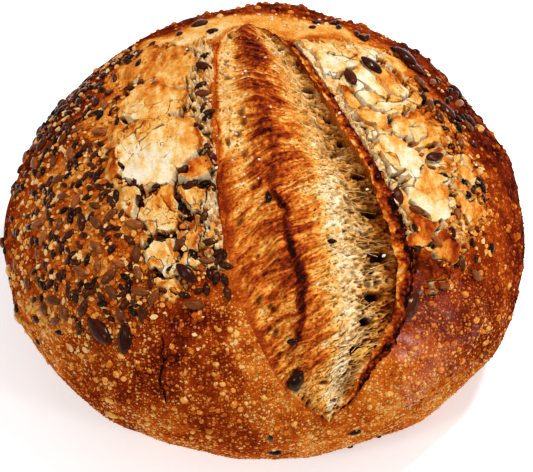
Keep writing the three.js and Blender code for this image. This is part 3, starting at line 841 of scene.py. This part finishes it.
def keyed(salt, *keys):  # a number from 0 to 1 that belongs to up to three whole numbers
    return hashed(np.stack(np.broadcast_arrays(*keys, *[0] * (3 - len(keys))), -1), salt)


def bordersOf(points, size, salt):  # how far the border to the next cell is, and the cell's number
    near, nextNear, number, _ = cellsAt(points, size, salt)
    return nextNear - near, number


def placesOn(half, salt, inner, back):  # what each place of the plates' sheet is, before it has height
    look, side, plates = platesLook, half["side"], np.array(half["plates"], float)
    farV, farU = zip(*half["reach"][::-1])
    v = farV[0] + (farV[-1] - farV[0]) * back
    outerU = np.interp(v, farV, farU)
    toLip = inner if side < 0 else 1 - inner
    u = outerU + (lipBeside(half["lip"], v) + side * half["overLip"] - outerU) * toLip
    points = skinAt(u, v)[0]
    warp = np.stack([lumps(points, 5, salt + k, 2) * 0.9 for k in range(3)], -1)
    chunks = cellsAt(points + warp, look["chunk"], salt + 50)[3]
    spots = points * 0.32 + chunks * 0.56 + cellsAt(points, 1.3, salt + 55)[3] * 0.12 + warp
    first, second, edge, rim, off = plateAt(spots, half)
    widths = 0.25 + 1.5 * keyed(salt, np.minimum(first, second), np.maximum(first, second))
    crack = look["crack"] * widths * (plates[first, 5] + plates[second, 5]) / 2
    _, border, fromEdge = plateZone(u, v, half)
    strip = half["strip"] - lumps(spots, 9, salt + 60, 3) * half["ragged"]
    return SimpleNamespace(
        u=u, v=v, points=points, warp=warp, first=first, off=off, border=border, fromEdge=fromEdge,
        inside=np.minimum(np.minimum(edge - crack, rim), fromEdge - strip), toasted=plates[first, 3],
        lift=plates[first, 4], patchy=lumps(points, 7, salt + 45, 3))


def bendCracks(at, side, salt):  # on the right the cracks run from the back left to the front right
    wander = np.stack([lumps(at.points, 1.6, salt + 24 + k) * 0.3 for k in range(3)], -1)
    at.bent = at.points + at.warp * 0.8 + wander
    if side > 0:
        torn = np.array([0.78, -0.62, 0])
        at.bent = at.bent - torn * (at.bent @ torn)[:, None] * (0.62 * soft(8, 24, at.v))[:, None]


def drawHairlines(at, salt):  # fine cracks, on the dry parts of the plates alone
    dry = soft(-0.1, 0.35, lumps(at.points, 13, salt + 26, 2) + 0.3 * at.lift - 0.1)
    lines = 0.0
    for size, more, begins, ends, without in platesLook["hairlines"]:
        border, number = bordersOf(at.bent, size, salt + more)
        lines = np.maximum(lines, soft(begins, ends, border) * (number > without))
    at.hairline = lines * soft(0.3, 0.9, at.inside) * dry


def breakUp(at, half, salt):  # where plates are broken up small, the pieces' borders count as well
    if half["side"] < 0:
        at.shatter = 0.5 * soft(-14, -34, at.v)
    else:
        at.shatter = soft(18, -8, at.v + 10 * at.patchy) + 0.8 * soft(10, 24, at.v)
    gap, at.piece = bordersOf(at.bent + at.warp, platesLook["brokenSize"], salt + 63)
    at.key = (at.piece * 999).astype(int)
    gap = gap * 3.1 - 0.35 * at.shatter * keyed(salt + 5, at.key, at.first)
    at.broken = (at.shatter > 0.2) & (at.piece > half["whole"]) & (gap < at.inside)
    at.inside = np.where(at.broken, gap + 0.3 * (1 - at.shatter), at.inside)


def topHeight(at, half, salt):
    tilt = np.stack([keyed(salt + k, at.first) * 2 - 1 for k in (1, 2, 3)], -1)
    lean = np.sum(at.off * tilt, axis=1) * (0.3 + 0.9 * at.lift)
    top = platesLook["proud"] * (0.8 + 0.45 * at.lift) * half["proud"] + lean
    curl = np.exp(-np.maximum(at.inside, 0) / 1.1)
    top = top + (at.piece - 0.5) * 0.9 * at.shatter + (0.2 + 0.5 * at.lift) * (1 - 0.7 * at.shatter) * curl
    rough = 0.3 * lumps(at.points, 5, salt + 8, 2) + 0.1 * lumps(at.points, 1, salt + 9, 2)
    return top + rough - 0.45 * at.hairline


def gritHeight(at, side, salt):  # crumbled flour and dough, in coarse grains and fine ones
    border, at.coarse = bordersOf(at.points + at.warp, 1.9, salt + 11)
    grit = np.where(at.coarse > 0.34, soft(0.02, 0.3, border) * (0.1 + at.coarse * 1.2), -0.9)
    border, at.fine = bordersOf(at.points + at.warp * 0.5, 1.0, salt + 17)
    grit = grit + 0.8 * np.where(at.fine > 0.5, soft(0.02, 0.35, border), -0.35)
    grit = grit + 0.6 * lumps(at.points, 3.4, salt + 12, 2) + 0.3 * lumps(at.points, 0.7, salt + 19)
    if side < 0:
        return grit + 0.8 * lumps(at.points, 5, salt + 13, 2)
    return grit * (1 - 0.55 * soft(8, 30, at.v))


def floorHeight(at, side, salt):  # cracks, gaps filled with grit, and the strip along the lip
    wide = soft(-0.35, -1.3, at.inside)
    floor = platesLook["deepest"] * (1 - wide) + (gritHeight(at, side, salt) * 0.9 - 0.3) * wide
    if side < 0:
        return floor + 0.6 * soft(9, 5, at.fromEdge) * wide
    return floor + 0.5 * wide + 0.9 * soft(8, 3, at.fromEdge) * (1 - 0.6 * wide)


def topBakeAndLight(at, side, salt):
    streaks = lumps(at.points * np.array([1, 0.35, 1]), 2, salt + 40, 3)
    bake = at.toasted - 0.01 * (side > 0) + 0.13 * streaks + 0.07 * lumps(at.points, 1.2, salt + 42, 2)
    # painted light: each plate's tone darkens towards its back right, the side the light falls from
    bake = bake + 0.1 * at.patchy + 0.15 * (at.off[:, 1] + 0.5 * at.off[:, 0]) * (0.4 + at.lift)
    bake = bake + 0.2 * (keyed(salt + 6, at.first + at.key, at.key, at.key) - 0.5) * at.shatter
    atBorder = soft(3.4, 0.2, at.inside) * soft(-0.3, 0.4, lumps(at.points, 6, salt + 47, 3))
    return np.maximum(bake, 0.05) + 0.22 * atBorder


def platesPiece(name, half, salt):
    look, side = platesLook, half["side"]
    piece, inner, back = gridSheet(name, look["columns"], look["rows"])
    at = placesOn(half, salt, inner, back)
    bendCracks(at, side, salt)
    drawHairlines(at, salt)
    breakUp(at, half, salt)
    on = soft(0, look["wall"], at.inside)
    floor = floorHeight(at, side, salt)
    height = floor + (topHeight(at, half, salt) - floor) * on
    if side < 0:  # the torn edge of the crust stands free along the cut
        at.border = at.border * soft(0.0, 0.9, at.fromEdge - 1.7 - 4.5 * lumps(at.points, 4, salt + 49, 3))
    height = -look["root"] * 0.6 + (height + look["root"] * 0.6) * at.border
    setPlaces(piece, skinAt(at.u, at.v, height + ground(at.u, at.v))[0])
    # flour on the tops, white broken walls, and grit that is darker further out
    bake = 0.08 + 0.2 * at.coarse * at.fine + (0.16 + 0.3 * at.fine) * soft(*half["bareFrom"], at.fromEdge)
    bake = bake + 0.4 * (at.coarse < 0.34) * at.fine
    bake = bake + (topBakeAndLight(at, side, salt) - bake) * soft(0.5, 0.9, on)
    wall = soft(-0.12, 0.02, at.inside) * soft(look["wall"] + 0.12, look["wall"] - 0.12, at.inside)
    wall = wall * (1 - at.broken * (keyed(salt + 7, at.key) > 0.35))
    shade = (1 - soft(-1.5, -0.75, height)) * 0.96 * soft(0.3, 0.8, at.border) * (1 - wall)
    shade = shade * (1 - (side > 0) * soft(7, 3, at.fromEdge + 2 * at.patchy))
    keepValues(piece, bake=np.clip(bake + (look["wallBake"] - bake) * wall, 0, 1),
               shade=np.clip(np.maximum(shade, at.hairline * 0.85), 0, 1))
    closeBelow(piece, look["root"])
    return piece


flouryLook = {
    "speckScale": 0.75, "speckBake": 0.45, "mottle": 0.26, "shine": 0.02, "roughness": 0.85, "relief": 0.6,
}
flouryMaterial, tree, shader, inMm = newMaterial("flouryCrust")
specks = addNode(tree, "ShaderNodeTexVoronoi", Vector=inMm, Scale=flouryLook["speckScale"])
speck = times(stepUp(specks.outputs["Distance"], 0.13, 0.06), flouryLook["speckBake"])
doughShader(tree, shader, inMm, flouryLook, plus(reading(tree, "bake"), speck), reading(tree, "shade"),
            noiseAt(inMm, 1.6, 5.0, 0.75)["Fac"], flouryLook["roughness"])
for name, half, salt in (("leftPlates", leftHalf, 100), ("rightPlates", rightHalf, 200)):
    finishPiece(platesPiece(name, half, salt), flouryMaterial, platesLook["smooth"])


# Seeds, chips and blisters: each kind is modelled once and sown as one joined mesh

def unit(ways):
    return ways / np.linalg.norm(ways, axis=-1, keepdims=True)


def sowKind(name, model, spots, wear=None, **values):
    # spots: u, v, turn, lift, tip and three sizes. values: what each copy carries
    base = placesOf(model)
    count = len(base)
    faces = [tuple(face.vertices) for face in model.data.polygons]
    bpy.data.objects.remove(model)
    point, out = skinAt(spots[:, 0], spots[:, 1], spots[:, 3])
    towards = np.stack([np.cos(spots[:, 2]), np.sin(spots[:, 2]), 0 * spots[:, 2]], -1)
    towards = unit(towards - out * np.sum(towards * out, axis=1, keepdims=True))
    towards = towards * np.cos(spots[:, 4:5]) + out * np.sin(spots[:, 4:5])  # tipped up out of the crust
    sideways = unit(np.cross(out, towards))
    local = base[None] * spots[:, None, 5:8]
    if wear is not None:
        local = wear(local)
    places = point[:, None] + sum(local[..., k:k + 1] * way[:, None] for k, way in enumerate(
        (towards, sideways, np.cross(towards, sideways))))
    piece = meshFrom(name, places.reshape(-1, 3),
                     [tuple(i + k * count for i in face) for k in range(len(spots)) for face in faces])
    keepValues(piece, **{label: np.repeat(value, count) for label, value in values.items()},
               acrossIt=np.tile(base[:, 1], len(spots)), alongIt=np.tile(base[:, 0], len(spots)))
    return piece


def seedModel(name, segments, rings, taper, flat=0.0):
    piece = startFrom(bpy.ops.mesh.primitive_uv_sphere_add, name, segments=segments, ring_count=rings,
                      radius=0.5 * mm, rotation=(0, math.pi / 2, 0))
    bpy.ops.object.transform_apply(location=False, rotation=True, scale=False)
    x, y, z = placesOf(piece).T
    narrow = 1 - taper * np.clip(2 * x, 0, 1) ** 1.6 - 0.12 * np.clip(-2 * x, 0, 1) ** 2
    z = z * (1 - flat * (1 - np.hypot(2 * x, 2 * y) ** 2))
    setPlaces(piece, np.stack([x, y * narrow, z * (0.6 + 0.4 * narrow)], -1))
    return piece


def sownIn(beds, u, v):
    best = u * 0.0
    for middle, radii, share in beds:
        best = np.maximum(best, share * np.clip((1.2 - inOval(u, v, middle, radii)) / 0.4, 0, 1))
    return best


def onPlate(u, v):
    sure = u * 0.0 - 9
    for half in (leftHalf, rightHalf):
        _, _, edge, rim, _ = plateAt(skinAt(u, v)[0], half)
        inner, border, fromEdge = plateZone(u, v, half)
        inside = np.minimum(np.minimum(edge, rim), fromEdge - leftHalf["strip"])
        here = (u * half["side"] > 10) & (border > 0.5) & (inner < 1)
        sure = np.where(here, np.maximum(sure, inside), sure)
    return sure > 0.8


def outsideCut(u, v, margin):
    beyond = (v > 58) | (v < -84)
    return beyond | (fromLip("leftLip", u, v) > margin) | (fromLip("rightLip", u, v) > margin + 3)


sowing = np.random.default_rng(7)
taken = {"points": np.zeros((9000, 3)), "sizes": np.zeros(9000), "count": 0}
plateChance = 0.015  # how many of the seeds that would fall on a plate stay there


def take(point, size):
    spot = taken["count"]
    taken["points"][spot], taken["sizes"][spot], taken["count"] = point, size, spot + 1


def takeKnown(u, v, size):
    take(skinAt(np.array(float(u)), np.array(float(v)))[0], size)


def scatter(look, margin=1.5, away=104):
    count, apart = look["count"], look["apart"]
    radius, bearing = away * np.sqrt(sowing.random(count * 60)), sowing.uniform(0, 2 * np.pi, count * 60)
    u, v = radius * np.cos(bearing), radius * np.sin(bearing)
    keep = (sowing.random(len(u)) < sownIn(look["beds"], u, v)) & outsideCut(u, v, margin)
    u, v = u[keep], v[keep]
    keep = ~onPlate(u, v) | (sowing.random(len(u)) < plateChance)
    u, v = u[keep], v[keep]
    points, found = skinAt(u, v)[0], []
    for k in range(len(u)):
        near = np.linalg.norm(taken["points"][:taken["count"]] - points[k], axis=1)
        if len(found) < count and np.all(near >= (apart + taken["sizes"][:taken["count"]]) / 2):
            take(points[k], apart)
            found.append((u[k], v[k]))
    return np.array(found)


def layOut(found, look):  # a row for each copy: place, turn, lift, tip and its three sizes
    scale = sowing.uniform(*look["scale"], len(found))
    u, v = found.T
    raised = look["lift"] + ground(u, v) + 1.5 * onPlate(u, v)
    raised = raised + 1.5 * ~(outsideCut(u, v, -1)) - 0.5 * soft(60, 80, np.hypot(u, v))
    turn, tipped = sowing.uniform(0, 2 * np.pi, len(u)), sowing.uniform(*look["tip"], len(u))
    return np.stack([u, v, turn, raised, tipped, *(scale * x for x in look["size"])], -1)


seedBeds = [  # middle, radii and how thickly sown
    ((-56, -20), (17, 30), 0.26), ((-42, -44), (17, 11), 0.34), ((-18, -47), (9, 8), 0.3),
    ((-61, 14), (14, 26), 0.15), ((-46, 34), (14, 18), 0.09), ((-30, 24), (16, 24), 0.03),
    ((-20, 20), (4, 40), 0.06), ((59, -16), (11, 20), 0.07), ((57, 20), (10, 22), 0.06),
    ((46, -30), (10, 14), 0.06), ((30, 50), (30, 8), 0.02), ((-32, -24), (14, 20), 0.07),
    ((60, 44), (30, 26), 0.008), ((-78, 6), (10, 50), 0.03), ((0, -84), (90, 14), 0.001),
]
pumpkinLook = {
    "size": (13.4, 6.6, 4.2), "lift": 0.9, "scale": (1, 1), "tip": (-0.1, 0.2), "apart": 11,
    "model": (20, 12, 0.3, 0.05), "dark": (48, 14, 7), "pale": (84, 30, 13), "stripes": 7.0,
    "roughness": 0.17,
    "known": [  # direction, turn and scale
        (-49, -54, 2.2, 1.0), (-41, -58, 1.2, 0.86), (29, 28, 1.9, 0.7), (35, 33, 2.6, 0.75),
        (45, 42, 2.5, 0.8), (48, 40, 2.7, 0.7), (53, -3, 0.4, 0.6), (42, -20, 1.9, 0.62), (43, -50, 1.2, 0.8),
        (58, 21, 2.4, 0.66), (-24, -47, 2.3, 0.7), (-25, -20, 0.6, 0.5),
    ],
}
known = np.array(pumpkinLook["known"])
spots = layOut(known[:, :2], pumpkinLook)
spots[:, 2] = known[:, 2]
spots[:, 5:8] *= known[:, 3:]
for u, v, _, scale in known:
    takeKnown(u, v, pumpkinLook["apart"] * scale)
pumpkinSeeds = sowKind("pumpkinSeeds", seedModel("pumpkin", *pumpkinLook["model"]), spots,
                       tone=sowing.random(len(spots)))

sunflowerLook = {
    "size": (7.4, 3.6, 3.0), "count": 104, "apart": 5.4, "knownApart": 6.2, "lift": 0.7, "scale": (0.7, 1.05),
    "tip": (-0.15, 0.3), "beds": seedBeds, "model": (12, 8, 0.42), "dark": (60, 20, 8), "pale": (156, 82, 34),
    "stripes": 9.0, "roughness": 0.19,
    "known": [(-59, -46), (-62, -21), (-59, -26), (-69, -17), (-71, -33), (-54, -38), (-62, -12), (58, -20),
              (58, -34), (53, -42), (56, 17), (48, 1)],
}
for u, v in sunflowerLook["known"]:
    takeKnown(u, v, sunflowerLook["knownApart"])
spots = layOut(np.vstack([sunflowerLook["known"], scatter(sunflowerLook)]), sunflowerLook)
sunflowerSeeds = sowKind("sunflowerSeeds", seedModel("sunflower", *sunflowerLook["model"]), spots,
                         tone=sowing.random(len(spots)))

flaxLook = {
    "size": (5.0, 2.6, 2.0), "count": 500, "apart": 2.3, "lift": 0.5, "scale": (0.75, 1.12),
    "tip": (-0.25, 0.45), "beds": seedBeds, "model": (8, 6, 0.5), "dark": (18, 8, 5), "pale": (78, 30, 12),
    "stripes": 5.0, "roughness": 0.17, "knownTone": 0.3,
    "frontSeed": {"turn": 1.3, "lift": 0.9, "tip": 0.1, "size": (8.4, 5.4, 4.2)},
    "known": [(1, -27), (16, -31), (21, -39), (8, -64), (-21, -13), (3, -92), (29, -84), (17, 59), (32, 51),
              (9, -72)],
}
spots = layOut(np.vstack([scatter(flaxLook), flaxLook["known"]]), flaxLook)
tones = sowing.random(len(spots))
tones[-len(flaxLook["known"]):] *= flaxLook["knownTone"]
# the last one is the big black seed by the front tip
frontSeed = flaxLook["frontSeed"]
raised = ground(*spots[-1:, :2].T)[0] + frontSeed["lift"]
spots[-1, 2:8] = frontSeed["turn"], raised, frontSeed["tip"], *frontSeed["size"]
flaxSeeds = sowKind("flaxSeeds", seedModel("flax", *flaxLook["model"]), spots, tone=tones)

# pale grains: a melon seed in the groove, amber ones on the flanks and fine white ones
grainsLook = {
    "size": (1.5, 1.1, 0.9), "count": 56, "apart": 1.2, "lift": 0.35, "scale": (0.6, 1.1), "tip": (-0.2, 0.4),
    "model": (8, 6, 0.5), "dark": (226, 160, 66), "pale": (255, 250, 240), "stripes": 6.0, "roughness": 0.3,
    "knownSize": (1.3636, 0.7857, 0.6429), "melonTurn": 0.7, "melonLift": 2,
    "known": [(27, -64, 4.9), (69, 22, 5), (-84, -22, 6.4), (-80, -38, 5.6), (-52, -76, 4.5)],
    "beds": [((-4, 10), (10, 44), 0.5), ((4, 60), (20, 5), 1), ((-30, 0), (20, 50), 0.3),
             ((44, 0), (20, 40), 0.3)],
}
known = np.array(grainsLook["known"])
spots = layOut(np.vstack([known[:, :2], scatter(grainsLook, -99)]), grainsLook)
spots[:len(known), 5:8] = known[:, 2:] * grainsLook["knownSize"]
spots[0, 2:4] = grainsLook["melonTurn"], spots[0, 3] + grainsLook["melonLift"]
tones = sowing.random(len(spots)) * 0.5 + 0.5
tones[:len(known)] = 0
paleGrains = sowKind("paleGrains", seedModel("grain", *grainsLook["model"]), spots, tone=tones)


seedFinish = {
    "shine": 0.14, "shineTone": (1, 0.7, 0.5, 1), "relief": 0.25, "streakShare": 0.36, "mostDark": 0.9,
}


def seedMaterial(name, look):
    material, tree, shader, inMm = newMaterial(name)
    tone = reading(tree, "tone")
    blend = mixTones(tree, calc("POWER", tone, 1.5), linearTone(*look["dark"]), linearTone(*look["pale"]))
    lines = addNode(tree, "ShaderNodeCombineXYZ", X=times(reading(tree, "acrossIt"), look["stripes"]),
                    Y=times(reading(tree, "alongIt"), 1.5), Z=times(tone, 40.0))
    streaks = noiseAt(lines.outputs[0], 1.0, 3.0)["Fac"]
    scorch = stepUp(noiseAt(inMm, 0.45, 2.0)["Fac"], 0.5, 0.7, 0.0, 0.45)
    darker = calc("MINIMUM", plus(times(stepUp(streaks, 0.42, 0.68), 0.55), scorch), seedFinish["mostDark"])
    mixed = mixTones(tree, darker, blend, linearTone(*[x * seedFinish["streakShare"] for x in look["dark"]]))
    setShader(tree, shader, Base_Color=mixed, Roughness=look["roughness"],
              Specular_IOR_Level=seedFinish["shine"], Specular_Tint=seedFinish["shineTone"],
              Normal=bumpOf(streaks, seedFinish["relief"]))
    return material


for piece, name, look in ((pumpkinSeeds, "pumpkinSkin", pumpkinLook),
                          (sunflowerSeeds, "sunflowerKernel", sunflowerLook),
                          (paleGrains, "paleGrain", grainsLook), (flaxSeeds, "flaxSkin", flaxLook)):
    finishPiece(piece, seedMaterial(name, look))

chipLook = {
    "sides": 8, "foot": 0.7, "count": 1300, "apart": 1.1, "size": (2.4, 1.7, 1.1), "lift": 0.3,
    "scale": (0.4, 1.2), "tip": (-0.35, 0.35), "stretch": (0.7, 1.3), "wear": (0.7, 1.25),
    "bake": (0.16, 0.6), "smooth": 35,
    "beds": [((-60, -16), (20, 42), 1), ((-40, -42), (24, 14), 0.9), ((-50, 30), (16, 24), 0.5),
             ((56, -6), (14, 26), 0.6), ((48, -34), (8, 8), 0.3), ((56, 26), (14, 20), 0.12),
             ((-20, -10), (5, 52), 0.12)],
}
chip = startFrom(bpy.ops.mesh.primitive_cylinder_add, "chip", vertices=chipLook["sides"], radius=0.5 * mm,
                 depth=1 * mm)
places = placesOf(chip)
places[places[:, 2] < 0, :2] *= chipLook["foot"]
setPlaces(chip, places)
taken["count"] = 0
spots = layOut(scatter(chipLook), chipLook)
spots[:, 5:7] *= sowing.uniform(*chipLook["stretch"], (len(spots), 2))
bakes = sowing.uniform(*chipLook["bake"], len(spots))
chips = sowKind("crustChips", chip, spots,
                lambda local: local * sowing.uniform(*chipLook["wear"], local.shape),
                bake=bakes, shade=bakes * 0)
outwards(chips)
finishPiece(chips, flouryMaterial, chipLook["smooth"])

blisterLook = {
    "count": 3000, "apart": 0.75, "size": (1.2, 1, 0.95), "lift": 0, "scale": (1, 1), "tip": (0, 0),
    "least": 0.6, "growth": 2.1, "rarity": 3.5, "model": (7, 5, 0.1), "leastBake": 0.28, "paler": (0.06, 0.4),
    "rimPaler": 0.14, "past": 112,
    "beds": [((-14, -68), (26, 13), 1), ((-10, -74), (50, 18), 0.5), ((44, -58), (28, 24), 1),
             ((-52, -66), (30, 14), 0.5), ((10, -94), (90, 16), 0.6), ((72, -20), (18, 50), 0.35),
             ((20, 66), (70, 16), 0.3), ((-74, -30), (14, 30), 0.35)],
}
taken["count"] = 0
found = scatter(blisterLook, 2.5, blisterLook["past"])
u, v = found.T
tilted = np.hypot(u, v)
spots = layOut(found, blisterLook)
spots[:, 3] = ground(u, v)
grown = blisterLook["growth"] * sowing.random(len(found)) ** blisterLook["rarity"] * soft(98, 84, tilted)
spots[:, 5:8] *= (blisterLook["least"] + grown)[:, None]
atRim = soft(84, 94, tilted)
skin = skinAt(u, v)[0]
bakes = crustBake(skin, u, v) - sowing.uniform(*blisterLook["paler"], len(spots))
bakes = bakes - blisterLook["rimPaler"] * atRim
blisters = sowKind("blisters", seedModel("blister", *blisterLook["model"]), spots,
                   bake=np.maximum(bakes, blisterLook["leastBake"] - 0.1 * atRim), shade=bakes * 0,
                   blister=0.5 * soft(0, -50, v), gloss=glossAt(skin, u, v))
finishPiece(blisters, crustMaterial)

# a fine crack in the front crust, laid on as a thin dark strip: its dark tone and shade are painted shade of
# the open crack
crackLook = {
    "run": [(-29.8, -59.5), (-30.2, -63.1), (-29.6, -65.8), (-31.1, -69), (-30.3, -72.3), (-29.9, -75)],
    "steps": (4, 90), "width": 0.36, "lift": 0.2, "root": 1.5, "bake": 0.97, "shade": 0.4,
}
run = crackLook["run"]
crack, side, share = gridSheet("crustCrack1", *crackLook["steps"])
u, v = [np.interp(share, np.linspace(0, 1, len(run)), column) for column in zip(*run)]
wander = lumps(along3(share * 20, 0), 1.3, 5, 3)
u, v = u + wander * 0.4, v + wander[::-1] * 0.3
width = crackLook["width"] * np.sin(np.pi * share) ** 0.5 * (1 + 0.5 * lumps(along3(share * 40, 0), 1.5, 8))
across = np.array([run[-1][1] - run[0][1], run[0][0] - run[-1][0]]) / math.dist(run[0], run[-1])
u, v = u + across[0] * (side - 0.5) * 2 * width, v + across[1] * (side - 0.5) * 2 * width
setPlaces(crack, skinAt(u, v, ground(u, v) + crackLook["lift"])[0])
keepValues(crack, bake=crackLook["bake"], shade=crackLook["shade"], blister=0, gloss=0)
closeBelow(crack, crackLook["root"])
finishPiece(crack, crustMaterial)


# Stage

studio = {
    "floorSize": 6, "floorTone": (0.9, 0.9, 0.9, 1), "floorGlow": 0.4, "worldLight": 0.36,
    "elevation": 55, "distance": 0.7, "aim": (0.0004, -0.0074, 0.0379), "lens": 122.1, "sensor": 36,
    "near": 0.01, "lampAim": (0, 0, 0.03),
    "lamps": [  # name, place, size, power
        ("keyLight", (0.34, 0.26, 1.0), 0.15, 9.6), ("fillLight", (-0.6, -0.6, 0.8), 0.2, 3.2),
        ("sideLight", (0.85, -0.65, 0.55), 0.15, 3), ("topLight", (0, 0, 1.3), 1.4, 2),
    ],
}
floor = startFrom(bpy.ops.mesh.primitive_plane_add, "floor", size=studio["floorSize"])
material, tree, shader, _ = newMaterial("palePaper")
setShader(tree, shader, Base_Color=studio["floorTone"], Roughness=0.8, Emission_Color=(1, 1, 1, 1),
          Emission_Strength=studio["floorGlow"])
floor.data.materials.append(material)

up = math.radians(studio["elevation"])
camera = addObject("camera", bpy.data.cameras.new("camera"))
camera.data.lens = studio["lens"]
camera.data.sensor_width = studio["sensor"]
camera.data.clip_start = studio["near"]
camera.location = Vector(studio["aim"]) + Vector((0, -math.cos(up), math.sin(up))) * studio["distance"]
camera.rotation_euler = (math.pi / 2 - up, 0, 0)
bpy.context.scene.camera = camera

for name, spot, size, power in studio["lamps"]:
    lamp = addObject(name, bpy.data.lights.new(name, "AREA"))
    lamp.data.size = size
    lamp.data.energy = power
    lamp.location = spot
    lamp.rotation_euler = (Vector(spot) - Vector(studio["lampAim"])).to_track_quat("Z", "Y").to_euler()
world = bpy.data.worlds.new("softStudio")
world.use_nodes = True
background = world.node_tree.nodes["Background"].inputs
background["Color"].default_value = (1, 1, 1, 1)
background["Strength"].default_value = studio["worldLight"]
bpy.context.scene.world = world
bpy.context.scene.view_settings.view_transform = "Standard"
print("stage set")
